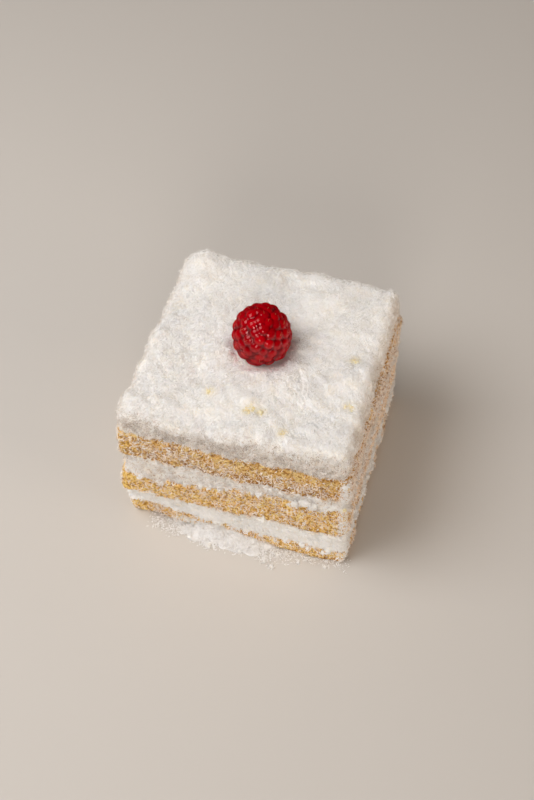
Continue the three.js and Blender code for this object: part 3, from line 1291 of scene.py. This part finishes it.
    def build(self) -> bpy.types.Object:
        """Make and dress the sheet, which stands for its CAD node."""
        return layer_piece(self.form.layers[self.level].node, "sheet", self.shell(), self.relief, self.finish)


@dataclass
class CreamSheet(Sheet):
    """A sheet of cream between two sponges, squeezed out over their edges here and there."""

    cover: float = 1.8
    warm: float = 0.0
    hidden: float = 0.25
    rag: float = 1.4
    rag_length: float = 7.0
    ledge_cover: float = 0.0
    inset: float = 0.45
    lip: float = 0.6
    smear: Pair = (0.1, 0.7)
    smear_fall: float = 1.2
    wear: float = 1.2
    wear_height: float = 0.5

    def grow(self) -> Array:
        """How far each column reaches past the layer's underside and past its top: a ragged smear."""
        return self.hidden + super().grow()

    def swell(self, share: float, grow: Array) -> float | Array:
        """How far the side stands out: a little everywhere, and further where it is smeared on sponge.

        Args:
            share: How far up the sheet, from 0 to 1.
            grow: How far each column reaches past the sheet's underside and past its top, in two rows.

        Returns:
            The distance at each column.
        """
        reach = grow[0 if share < 0.5 else 1]
        near = min(share, 1 - share) * (self.form.layers[self.level].thickness + reach)
        smeared = smooth_step(reach - self.hidden, *self.smear)
        over = smeared * (1 - smooth_step(near, reach, reach + self.smear_fall))
        worn = (self.lip + self.wear) * np.clip(1 - near / self.wear_height, 0, 1) ** 2
        return self.inset + self.lip * over - worn


@dataclass
class TopCream:
    """The thick cream on top, under the coconut. Its pairs mean what those of a sheet do."""

    form: CakeForm
    finish: Finish
    relief: Relief
    hidden: float = 0.15
    steps: tuple[int, int] = (100, 8)
    row: float = 0.75
    clear_radius: float = 8.9
    lean: float = 0.9
    # These three shares tint the coconut of the hanging edge as painted shade: warmer all round, greyer at
    # the front and right.
    warm: float = 0.3
    dull: float = 1.0
    right_dull: float = 0.45
    tufts: tuple[Wave, ...] = (Wave(1.2, 11.0, 1.2), Wave(0.9, 3.6, 0.9))
    smudge: float = 1.5
    rag: float = 0.9
    rag_length: float = 6.0
    lean_in: float = 0.7
    lean_out: float = 0.3
    round_rings: int = 8
    seat_hem: float = 3.0
    calmer: Pair = (8.0, -12.0)
    front: Pair = (-32.0, -36.0)
    right: Pair = (33.0, 36.5)
    hem: Pair = (0.2, 1.6)
    hang_edge: Pair = (-0.5, 1.2)
    hang_tufts: Pair = (0.7, 3.1)
    fringe_reach: Pair = (1.5, 4.0)

    @property
    def level(self) -> int:
        """The layer's number from the base."""
        return len(self.form.layers) - 1

    def rings(self) -> list[Array]:
        """The form's rings.

        Returns:
            The points of each, up the sides, round the edge and across the top to the berry's seat.
        """
        form, layer = self.form, self.form.layers[self.level]
        round_start = 1 - form.top_round / layer.thickness
        rows = round(round_start * layer.thickness / self.row)
        rags = form.ragged(self.level, self.rag_length, self.steps)[0]
        grow = np.array([self.hidden + self.rag * rags, 0 * rags])
        rings = []
        for share in np.linspace(0, round_start, rows, endpoint=False):
            worn = form.arris * max(0.0, 1 - share * layer.thickness) ** 2
            swell = self.lean * (share / round_start - self.lean_in) - worn
            rings.append(form.side_ring(self.level, share, swell, grow, self.steps))
        shoulder = form.side_ring(self.level, round_start, self.lean * self.lean_out, grow, self.steps)
        edge = form.edge(form.half, form.upright_radius, self.steps)[0]
        for angle in np.linspace(0, math.pi / 2, self.round_rings):
            inward = form.top_round * (1 - math.cos(angle))
            radius = max(form.upright_radius - inward, form.tightest_radius)
            x, y = (shoulder[:, :2] + form.edge(form.half - inward, radius, self.steps)[0] - edge).T
            z = shoulder[:, 2] + (form.top(x, y) - shoulder[:, 2]) * math.sin(angle)
            rings.append(np.stack([x, y, z], axis=-1))
        inner = rings[-1][:, :2]
        turns = math.pi * (-0.75 + 2 * np.arange(len(inner)) / len(inner))
        centre = np.array(form.seat) + np.stack([np.cos(turns), np.sin(turns)], axis=-1)
        for share in np.linspace(0, 1, round(form.half / self.row))[1:]:
            x, y = (inner * (1 - share) + centre * share).T
            rings.append(np.stack([x, y, form.top(x, y)], axis=-1))
        return rings

    def marks(self, stack: Array) -> Marks:
        """The marks at the form's points.

        Args:
            stack: The points by ring and column.

        Returns:
            Numbers for relief, coconut and colour, by ring and column.
        """
        form, thickness = self.form, self.form.layers[self.level].thickness
        x, y, z = np.moveaxis(stack, -1, 0)
        away = np.hypot(x - form.seat[0], y - form.seat[1])
        side = smooth_step(away, self.clear_radius, self.clear_radius + self.seat_hem)
        side *= 0.75 + 0.5 * smooth_step(y, *self.calmer)
        hem = z - form.meeting(self.level - 1, x, y)
        cover = np.where(away > self.clear_radius, smooth_step(hem, *self.hem), 0.0)
        side[0] = cover[0] = 0
        below = form.top(x, y) - z
        tufted = below + form.waves((x, y, z), self.tufts)
        # Where the top hangs over its side, its coconut gets painted shade: warmer all round, and greyer at
        # the front and right.
        hang = 0.5 * smooth_step(below, *self.hang_edge) + 0.5 * smooth_step(tufted, *self.hang_tufts)
        front = self.dull * smooth_step(y, *self.front)
        right = self.right_dull * smooth_step(x, *self.right)
        spots = [np.exp(-((x - spot[0]) ** 2 + (y - spot[1]) ** 2) / self.smudge**2) for spot in form.crumbs]
        return {
            "side": side,
            "cover": cover,
            "upright": cover * smooth_step(hem, *(thickness - reach for reach in self.fringe_reach)),
            "warm": self.warm * hang,
            "dull": hang * np.maximum(front, right),
            "gold": np.clip(sum(spots), 0, 1),
        }

    def build(self) -> bpy.types.Object:
        """Make and dress the cream.

        Returns:
            The piece, standing for its CAD node.
        """
        form, stack = self.form, np.stack(self.rings())
        foot = (0, 0, form.meeting_at(self.level - 1, 0.0, 0.0) - self.hidden)
        shell = ring_shell(stack, foot, (*form.seat, form.seat_height()), self.marks(stack))
        return layer_piece(form.layers[self.level].node, "cream", shell, self.relief, self.finish)


def joined(meshes: Sequence[bpy.types.Mesh], marks: dict[str, str]) -> bpy.types.Mesh:
    """Join meshes into one that keeps some of their marks.

    Args:
        meshes: What is joined. They aren't changed.
        marks: The point attributes that are kept, as what each is called in the new mesh and in the old ones.
            A mesh without one gets 0.

    Returns:
        The joined mesh.
    """
    points, faces, start = [], [], 0
    values: dict[str, list[Array]] = {mark: [] for mark in marks}
    for mesh in meshes:
        flat = np.empty(len(mesh.vertices) * 3, np.float32)
        mesh.vertices.foreach_get("co", flat)
        points.append(flat.reshape(-1, 3) / MM)
        for mark, old in marks.items():
            stored = np.zeros(len(mesh.vertices), np.float32)
            if old in mesh.attributes:
                mesh.attributes[old].data.foreach_get("value", stored)
            values[mark].append(stored)
        faces += [tuple(start + corner for corner in face.vertices) for face in mesh.polygons]
        start += len(mesh.vertices)
    kept = {mark: np.concatenate(parts) for mark, parts in values.items()}
    return Shell(np.concatenate(points), faces, kept).mesh("joined_carrier")


@dataclass
class Bank:
    """The low bank of fallen coconut along the foot of the front face.

    The shreds reach further out in tongues: how much further, where along the front, and how widely.
    """

    form: CakeForm
    middle: float = -2.0
    half_length: float = 18.0
    reach: float = 7.5
    tuck: float = 2.5
    peak: float = 3.2
    skirt: float = 0.08
    sole: float = 0.01
    columns: int = 150
    rows: int = 30
    cover: float = 2.0
    # A little painted shade on the fallen coconut: some shreds greyed between the others.
    dull: float = 0.2
    ridge: tuple[Pair, ...] = ((-18.0, -10.0), (14.0, 0.0))
    fade: Pair = (0.55, 1.0)
    least_reach: float = 7.0
    tongues: tuple[Triple, ...] = ((3.0, -4.0, 16.0), (3.5, 15.0, 6.0))
    reach_wave: Wave = Wave(1.2, 11.0, 4.0)
    lump_waves: tuple[Wave, ...] = (Wave(1.0, 8.0, 2.0), Wave(0.8, 3.4, 6.0))
    lump_height: float = 0.65
    ridge_fall: float = 1.35
    ridge_power: float = 1.5
    spill_ends: tuple[Pair, ...] = ((-31.0, -22.0), (41.0, 30.0))
    spill_depth: float = 13.0
    spill_grid: tuple[int, int] = (181, 53)
    relief: Relief = Relief("powder", 0.0, 3.0, 0.4, 2.2, 0.55, 0.7, 5)

    @property
    def face(self) -> float:
        """Where the bank meets the cake, just inside its front."""
        return -self.form.half + 1.5

    @staticmethod
    def tongue(x: Array, middle: float, width: float) -> Array:
        """A smooth rise to 1 at a place along the front."""
        return np.exp(-(((x - middle) / width) ** 2))

    def share(self, x: Array, y: Array) -> Array:
        """How far out from the cake each place is.

        Args:
            x: Places along X.
            y: Places along Y.

        Returns:
            A number from 0 at the cake's front to 1 where the shreds end.
        """
        reach = np.full(x.shape, self.least_reach)
        for further, middle, width in self.tongues:
            reach += further * self.tongue(x, middle, width)
        reach = self.form.waves((x, 0 * x, 0 * x), [self.reach_wave], reach)
        return np.clip((self.face - y) / reach, 0, 1)

    def lumps(self, x: Array, y: Array) -> Array:
        """The bank's unevenness, between about -2 and 2."""
        return self.form.waves((x, y, 0 * x), self.lump_waves)

    def height(self, x: Array, y: Array) -> Array:
        """How high the bank stands above the floor.

        Args:
            x: Places along X.
            y: Places along Y.

        Returns:
            The height at each place.
        """
        left, right = self.ridge
        centre = smooth_step(x, *left) * smooth_step(x, *right)
        share = self.share(x, y)
        ridge = self.peak * centre * np.clip(1 - share * self.ridge_fall, 0, 1) ** self.ridge_power
        lumps = self.lump_height * np.clip(self.lumps(x, y), 0, None)
        return ridge + lumps * (1 - share) * (0.4 + 0.6 * centre)

    def shell(self) -> Shell:
        """The bank's smooth form.

        Returns:
            A closed form on the floor, in rings from its rim to its middle.
        """
        turns = 2 * math.pi * np.arange(self.columns) / self.columns
        depth = np.where(np.sin(turns) < 0, self.reach, self.tuck)
        uneven = 1 + 0.1 * np.sin(5 * turns + 1) + 0.08 * np.sin(11 * turns) + 0.05 * np.sin(23 * turns + 2)
        rim = np.stack([self.half_length * np.cos(turns), depth * np.sin(turns)], axis=-1) * uneven[:, None]
        shares = np.linspace(1, 0, self.rows, endpoint=False)
        plan = np.array([self.middle, self.face]) + shares[:, None, None] * rim
        x, y = np.moveaxis(plan, -1, 0)
        fade = (1 - smooth_step(shares, *self.fade))[:, None]
        height = np.maximum(self.height(x, y) * fade, self.skirt)
        height[0] = self.sole
        peak = float(self.height(np.array([self.middle]), np.array([self.face]))[0])
        marks = {
            "side": np.clip(height / 1.5, 0, 1),
            "cover": self.cover * fade + 0 * x,
            "dull": np.full(x.shape, self.dull),
        }
        rings = np.concatenate([plan, height[..., None]], axis=-1)
        return ring_shell(rings, (self.middle, self.face, self.sole), (self.middle, self.face, peak), marks)

    def build(self, finish: Finish) -> bpy.types.Object:
        """Make and dress the bank."""
        return new_piece("coconut_bank", self.relief.apply(self.shell().mesh("bank_form"), finish))

    def spill(self) -> Shell:
        """The shreds' place on and in front of the bank.

        Returns:
            An open surface that the fallen shreds lie on, with how thickly they lie.
        """
        left, right = self.spill_ends
        columns, rows = self.spill_grid
        out = np.linspace(0, self.spill_depth, rows)
        x, y = np.meshgrid(np.linspace(left[0], right[0], columns), self.face - out)
        ends = smooth_step(x, *left) * smooth_step(x, *right)
        cover = np.clip(0.9 + 0.8 * self.lumps(x, y), 0.05, None) * (0.3 + 0.7 * ends)
        cover = cover * (1 - smooth_step(self.share(x, y), 0.4, 1.0)) ** 1.2
        cover *= 0.6 + self.tongue(x, *self.tongues[0][1:])
        number = np.arange(rows * columns).reshape(rows, columns)
        faces = np.stack([number[:-1, :-1], number[1:, :-1], number[1:, 1:], number[:-1, 1:]], axis=-1)
        points = np.stack([x, y, self.height(x, y)], axis=-1).reshape(-1, 3)
        return Shell(points, as_faces(faces.reshape(-1, 4)), {"cover": cover.ravel()})


@dataclass
class Coating:
    """The shredded coconut: a thick coat on the top, a thinner one on the sides, and what has fallen."""

    bank: Bank
    finish: Finish = field(default_factory=CoconutFinish)
    shred: Shred = field(default_factory=Shred)
    threads: Scatter = Scatter(
        "coconut_threads", 3.4, (0.7, 0.18, 0.12), (1.8, 0.32, 0.2), 20, (0.0, 0.7), 11, 3.2, 0.5, 0.82
    )
    fines: Scatter = Scatter(
        "coconut_fines", 3.4, (0.35, 0.2, 0.16), (0.8, 0.36, 0.26), 34, (0.0, 0.6), 23, 2.2, 0.5, 0.82
    )
    side_shreds: Scatter = Scatter(
        "coconut_on_sides", 0.9, (0.9, 0.26, 0.2), (2.3, 0.48, 0.34), 35, (0.0, 0.5), 37, 3.0, 0.5, 0.1
    )
    grains: Scatter = Scatter(
        "coconut_grains", 0.9, (0.35, 0.26, 0.2), (0.8, 0.46, 0.34), 55, (0.0, 0.35), 43, 1.8, 0.5, 0.1
    )
    fringe: Scatter = Scatter(
        "coconut_fringe", 5.0, (0.6, 0.18, 0.14), (1.6, 0.34, 0.24), 75, (0.0, 0.7), 47, 2.0, 0.7
    )
    fuzz: Scatter = Scatter("coconut_fuzz", 0.7, (0.9, 0.14, 0.12), (2.4, 0.24, 0.18), 80, (0.0, 0.4), 41)
    fallen: Scatter = Scatter(
        "coconut_fallen", 11.0, (0.5, 0.2, 0.14), (1.5, 0.38, 0.24), 30, (0.0, 0.6), 53, 2.6, 0.6, 0.5
    )

    def build(self, top: bpy.types.Object, sides: Sequence[bpy.types.Object]) -> list[bpy.types.Object]:
        """Strew all the coconut.

        Args:
            top: The top cream.
            sides: The sheets below it and the clumps on them.

        Returns:
            The bank that the fallen shreds lie on, and one piece for each kind of shred.
        """
        shapes = self.shred.collection()
        marks = {mark: mark for mark in ("cover", "warm", "dull")}
        below = joined([piece.data for piece in sides], marks)
        bank = self.bank.build(self.finish)
        carriers = [
            (self.threads, top.data),
            (self.fines, top.data),
            (self.side_shreds, below),
            (self.grains, below),
            (self.fringe, joined([top.data], {"cover": "upright", "warm": "warm"})),
            (self.fuzz, joined([below, top.data], marks)),
            (self.fallen, joined([bank.data, self.bank.spill().mesh("spill_form")], marks)),
        ]
        strewn = [new_piece(kind.name, kind.strew(mesh, shapes, self.finish)) for kind, mesh in carriers]
        return [bank, *strewn]


@dataclass
class Raspberry:
    """The berry: drupelets packed in a spiral round an egg-shaped core, cut flat where it sits, and hairs."""

    form: CakeForm
    finish: Finish = field(default_factory=BerryFinish)
    hair_finish: Finish = field(default_factory=HairFinish)
    width: float = 20.0
    crown: float = 11.8
    waist: float = 7.4
    gap: float = 0.45
    taper: float = 0.14
    count: int = 92
    bead: float = 2.55
    bead_spread: float = 0.06
    turn_spread: float = 0.05
    reach_spread: float = 0.012
    crease: float = 0.3
    merge: float = 0.04
    lean: float = 5.0
    fineness: int = 6
    seed: int = 4
    hair_share: float = 0.7
    hair_lift: float = 0.35
    hair_shape: Shred = Shred("hair_shapes", 3, 0.0, 8, standing=True)
    hair: Scatter = Scatter(
        "raspberry_hairs", 1.0, (0.09, 0.09, 1.4), (0.12, 0.12, 2.6), 40, (0.0, 0.0), 71, spread=Spread.POINTS
    )

    def centre(self) -> Array:
        """The middle of the berry's widest part."""
        return np.array([*self.form.seat, self.form.seat_height() + self.gap + self.waist])

    def narrowing(self, rise: Array) -> Array:
        """How much narrower than an egg the berry is, by how far up it is from -1 to 1."""
        return 1 - self.taper * np.clip(rise, 0, 1) ** 2

    def drupelets(self) -> tuple[Array, Array]:
        """Where the drupelets are.

        Returns:
            Their middles from the berry's own middle, and their radii.
        """
        draw = np.random.default_rng(self.seed)
        number = np.arange(self.count)
        lowest = -self.waist / self.crown
        rise = 1 - (number + 0.5) / self.count * (1 - lowest)
        angle = number * math.pi * (3 - math.sqrt(5)) + draw.normal(0, self.turn_spread, self.count)
        flat = np.sqrt(np.clip(1 - rise * rise, 0, 1))
        across, upright = (self.width / 2 - self.bead) * flat, self.crown - self.bead
        points = np.stack([across * np.cos(angle), across * np.sin(angle), upright * rise], axis=-1)
        points[:, :2] *= self.narrowing(rise)[:, None]
        points *= 1 + draw.normal(0, self.reach_spread, (self.count, 1))
        radii = self.bead * (1 + self.bead_spread * draw.uniform(-1, 1, self.count))
        tilt = np.array(Matrix.Rotation(math.radians(self.lean), 3, "X"))
        return points @ tilt.T, radii

    def shell(self) -> Shell:
        """The berry's skin, found along rays from its middle.

        Returns:
            The closed skin, marked with the drupelet's tone and with how near a point is to its tip.
        """
        ways, triangles = unit_ball(self.fineness)
        ways /= np.linalg.norm(ways, axis=1, keepdims=True)
        middles, radii = self.drupelets()
        across = (self.width / 2 - self.bead + self.crease) * self.narrowing(ways[:, 2])
        upright = self.crown - self.bead + self.crease
        core = 1 / np.sqrt((ways[:, 0] ** 2 + ways[:, 1] ** 2) / across**2 + ways[:, 2] ** 2 / upright**2)
        along = ways @ middles.T
        inside = along**2 - (middles**2).sum(axis=1) + radii**2
        reach = np.where(inside > 0, along + np.sqrt(np.clip(inside, 0, None)), 0)
        owner = reach.argmax(axis=1)
        reach = np.concatenate([reach, core[:, None]], axis=1)
        most = reach.max(axis=1)
        distance = most + self.merge * np.log(np.exp((reach - most[:, None]) / self.merge).sum(axis=1))
        floor = np.where(ways[:, 2] < 0, -self.waist / np.minimum(ways[:, 2], -1e-6), np.inf)
        points = ways * np.minimum(distance, floor)[:, None]
        outward = middles / np.linalg.norm(middles, axis=1, keepdims=True)
        tip = ((points - middles[owner]) / radii[owner, None] * outward[owner]).sum(axis=1)
        tone = np.random.default_rng(self.seed + 1).uniform(0, 1, self.count)[owner]
        marks = {"tip": np.clip(tip, 0, 1), "tone": tone}
        return Shell(points + self.centre(), as_faces(triangles), marks)

    def hair_points(self) -> Shell:
        """Where hairs grow: the tips of most drupelets.

        Returns:
            Points with a mark for the way out.
        """
        middles, radii = self.drupelets()
        out = middles / np.linalg.norm(middles, axis=1, keepdims=True)
        grown = np.random.default_rng(self.seed + 2).uniform(0, 1, self.count) < self.hair_share
        tips = middles + out * (radii[:, None] + self.hair_lift) + self.centre()
        return Shell(tips[grown], [], {"way": out[grown]})

    def build(self) -> list[bpy.types.Object]:
        """Make and dress the berry.

        Returns:
            The flesh, standing for its CAD node, and the hairs.
        """
        flesh = dressed("raspberry_flesh", self.shell().mesh("raspberry_form"), self.finish)
        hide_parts("raspberry")
        grown = self.hair_points().mesh("hair_form")
        hairs = self.hair.strew(grown, self.hair_shape.collection(), self.hair_finish)
        return [flesh, new_piece(self.hair.name, hairs)]


@dataclass
class Lumps:
    """Small uneven lumps that lie where they are put."""

    form: CakeForm
    seed: int = 31
    rough: float = 0.3
    cover: float = 4.0
    fineness: int = 2

    def shell(self, places: Sequence[Ball]) -> Shell:
        """Make the lumps.

        Args:
            places: The middle and the radius of each.

        Returns:
            One shell that holds them all, none of it below the floor, marked to be covered with coconut.
        """
        draw = np.random.default_rng(self.seed)
        ways, triangles = unit_ball(self.fineness)
        points, faces = [], []
        for number, (x, y, z, radius) in enumerate(places):
            phases = draw.uniform(2, 4, 3) * ways + draw.uniform(0, 6, 3)
            waves = np.sin(phases).sum(axis=1, keepdims=True) / 2
            uneven = 1 + self.rough * (waves + draw.uniform(-0.5, 0.5, (len(ways), 1)))
            made = ways * uneven * radius * draw.uniform(0.7, 1.3, 3) + np.array([x, y, z])
            points.append(np.maximum(made, [-np.inf, -np.inf, FLOOR_GAP]))
            faces += as_faces(triangles + number * len(ways))
        stack = np.concatenate(points)
        return Shell(stack, faces, {"cover": np.full(len(stack), self.cover)})


@dataclass
class Clumps(Lumps):
    """Clumps of cream and coconut: along the edges of the cream, on one corner, and on the floor."""

    finish: Finish = field(default_factory=CreamFinish)
    placed: tuple[Ball, ...] = (
        (37.4, -37.7, 43.6, 1.1),
        (24.6, -38.7, 31.6, 1.2),
        (27.4, -38.6, 30.4, 0.9),
        (21.2, -38.7, 29.4, 0.8),
        (15.4, -46.5, 0.1, 0.6),
        (12.6, -44.8, 0.1, 0.7),
        (3.2, -43.8, 0.1, 0.7),
        (-7.5, -44.2, 0.2, 0.8),
        (-15.0, -42.6, 0.2, 0.6),
        (24.0, -42.6, 0.1, 0.5),
        (33.0, -41.8, 0.1, 0.5),
    )
    strewn: int = 130
    size: Pair = (0.3, 0.75)
    off_seam: float = 0.9
    proud: float = 0.3
    sunk: float = 0.2

    def build(self) -> bpy.types.Object:
        """Make and dress the clumps.

        Returns:
            The ones with a place, and more strewn along where sponge and cream meet.
        """
        draw = np.random.default_rng(self.seed + 1)
        places = list(self.placed)
        for _ in range(self.strewn):
            level = int(draw.integers(0, len(self.form.layers) - 2))
            plan, out = self.form.plan(level, COLUMNS)
            column = int(draw.integers(len(plan)))
            radius = draw.uniform(*self.size)
            x, y = plan[column] + out[column] * (self.proud - self.sunk * radius)
            height = self.form.meeting_at(level, *plan[column])
            places.append((x, y, height + draw.uniform(-self.off_seam, self.off_seam), radius))
        return dressed("cream_clumps", self.shell(places).mesh("cream_clumps_form"), self.finish)


@dataclass
class Crumbs(Lumps):
    """Small crumbs of sponge: a few bits on the top, and one on the front right corner."""

    finish: Finish = field(
        default_factory=lambda: SpongeFinish(
            "sponge_crumb", (0.93, 0.83, 0.52, 1), (0.80, 0.62, 0.28, 1), pale=(0.94, 0.89, 0.68, 1)
        )
    )
    rough: float = 0.45
    corner: Ball = (37.6, -37.6, 30.4, 0.7)
    bits: int = 3
    size: Pair = (0.3, 0.6)
    stray: float = 0.7
    sit: float = 0.15

    def build(self) -> bpy.types.Object:
        """Make and dress the crumbs.

        Returns:
            One piece that holds them all.
        """
        draw = np.random.default_rng(self.seed)
        places = [self.corner]
        for middle in self.form.crumbs:
            for x, y in middle + draw.normal(0, self.stray, (self.bits, 2)):
                height = float(self.form.top(np.array([x]), np.array([y]))[0])
                places.append((x, y, height + self.sit, draw.uniform(*self.size)))
        mesh = self.shell(places).mesh("sponge_crumbs_form", smooth=False)
        return dressed("sponge_crumbs", mesh, self.finish)


@dataclass(frozen=True)
class Lamp:
    """A square soft light that faces the cake. Only a mirrored one shows in what is glossy."""

    name: str
    place: Triple
    size: float
    watts: float
    colour: Triple
    mirrored: bool
    aim: Triple = (0, 0, 30)

    def build(self) -> None:
        """Make the light."""
        data = bpy.data.lights.new(self.name, "AREA")
        data.size = self.size * MM
        data.energy = self.watts
        data.color = self.colour
        lamp = bpy.data.objects.new(self.name, data)
        bpy.context.scene.collection.objects.link(lamp)
        lamp.location = Vector(self.place) * MM
        lamp.rotation_euler = (Vector(self.aim) * MM - lamp.location).to_track_quat("-Z", "Y").to_euler()
        lamp.visible_glossy = self.mirrored


@dataclass
class Studio:
    """The pale floor, the soft lights and the camera."""

    camera_place: Triple = (81.87, -291.67, 405.98)
    azimuth: float = 15.5
    elevation: float = 51.15
    lens: float = 62.79
    sensor: float = 36.0
    clip: Pair = (0.01, 20.0)
    floor_size: float = 3000.0
    bounces: int = 10
    world: Colour = (1.0, 0.9, 0.82, 1)
    world_strength: float = 0.14
    lamps: tuple[Lamp, ...] = (
        Lamp("window_light", (-330, -150, 560), 400, 1.9, (1.0, 0.98, 0.975), True),
        Lamp("fill_light", (250, -1500, 700), 550, 8.0, (1.0, 0.945, 0.895), True),
        Lamp("key_light", (-497, -296, 919), 832, 4.6, (1.0, 0.98, 0.975), False),
        Lamp("side_light", (1500, -250, 300), 700, 9.1, (1.0, 0.84, 0.69), False),
    )

    def build(self) -> None:
        """Make all of it."""
        self.floor()
        self.camera()
        self.lights()
        view = bpy.context.scene.view_settings
        view.view_transform = "Standard"
        view.look = "None"
        bpy.context.scene.cycles.diffuse_bounces = self.bounces

    def floor(self) -> None:
        """A flat floor under the cake."""
        half = self.floor_size / 2
        corners = np.array([[-half, -half, 0], [half, -half, 0], [half, half, 0], [-half, half, 0]])
        mesh = Shell(corners, [(0, 1, 2, 3)]).mesh("floor_form", smooth=False)
        dressed("floor", mesh, FloorFinish())

    def camera(self) -> None:
        """A camera where the photograph was taken from."""
        data = bpy.data.cameras.new("camera")
        data.lens = self.lens
        data.sensor_width = self.sensor
        data.clip_start, data.clip_end = self.clip
        camera = bpy.data.objects.new("camera", data)
        bpy.context.scene.collection.objects.link(camera)
        around, down = math.radians(self.azimuth), math.radians(self.elevation)
        level = math.cos(down)
        ahead = Vector((-math.sin(around) * level, math.cos(around) * level, -math.sin(down)))
        camera.location = Vector(self.camera_place) * MM
        camera.rotation_euler = ahead.to_track_quat("-Z", "Y").to_euler()
        bpy.context.scene.camera = camera

    def lights(self) -> None:
        """A window and a fill that show in the berry, a soft key, a warm side light, and light all round."""
        for lamp in self.lamps:
            lamp.build()
        world = bpy.data.worlds.new("studio")
        world.use_nodes = True
        graph = Graph(world.node_tree)
        shade = {"Color": self.world, "Strength": self.world_strength}
        graph.add("ShaderNodeOutputWorld", None, {"Surface": graph.add("ShaderNodeBackground", None, shade)})
        bpy.context.scene.world = world
        world.cycles_visibility.glossy = False


def ride(piece: bpy.types.Object) -> None:
    """Fix a finished piece to the cake, and report it.

    Args:
        piece: The piece.
    """
    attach(piece, BODY)
    LOG.info("%s: %d faces", piece.name, len(piece.data.polygons))


def main() -> None:
    """Build the cake from the base up, then the studio."""
    logging.basicConfig(level=logging.INFO, format="%(message)s")
    form = CakeForm()
    sponge, cream = SpongeFinish(), CreamFinish()
    # The top sponge is browner and darker: partly a more toasted crumb, partly painted shade under the
    # frosting's overhang.
    browner = SpongeFinish(
        "browner_sponge", (0.68, 0.41, 0.13, 1), (0.29, 0.12, 0.024, 1), pale=(0.76, 0.55, 0.23, 1)
    )
    sheets = []
    upper = len(form.layers) - 2
    for level, layer in enumerate(form.layers[:-1]):
        if layer.food is Food.CREAM:
            relief = Relief(f"swirl_{level}", 0.0, 3.0, 0.75, 3.0, 0.5, 1.2, level)
            # The upper cream band gets painted shade, as warmer and greyer coconut; each cream's right face
            # is greyed as painted shade.
            warm, dull = (0.45, 0.4) if level == upper - 1 else (0.0, 0.0)
            sheet = CreamSheet(form, level, cream, relief, warm=warm, dull=dull, right_dull=0.4)
        else:
            relief = Relief(f"crumb_{level}", 1.0, 1.4, 0.5, 4.0, 0.25, 0.8, level)
            if level == upper:
                sheet = Sheet(form, level, browner, relief, warm=0.8, skin_reach=(7.0, 1.5), front_ledge=0.0)
            else:
                sheet = Sheet(form, level, sponge, relief)
        sheets.append(sheet.build())
        ride(sheets[-1])
    top = TopCream(form, cream, Relief("drift", 0.0, 3.0, 1.3, 5.0, 0.7, 2.0, 9)).build()
    ride(top)
    clumps = Clumps(form).build()
    ride(clumps)
    for piece in Coating(Bank(form)).build(top, [*sheets, clumps]):
        ride(piece)
    for piece in Raspberry(form).build():
        ride(piece)
    ride(Crumbs(form).build())
    Studio().build()


if __name__ == "__main__":
    main()
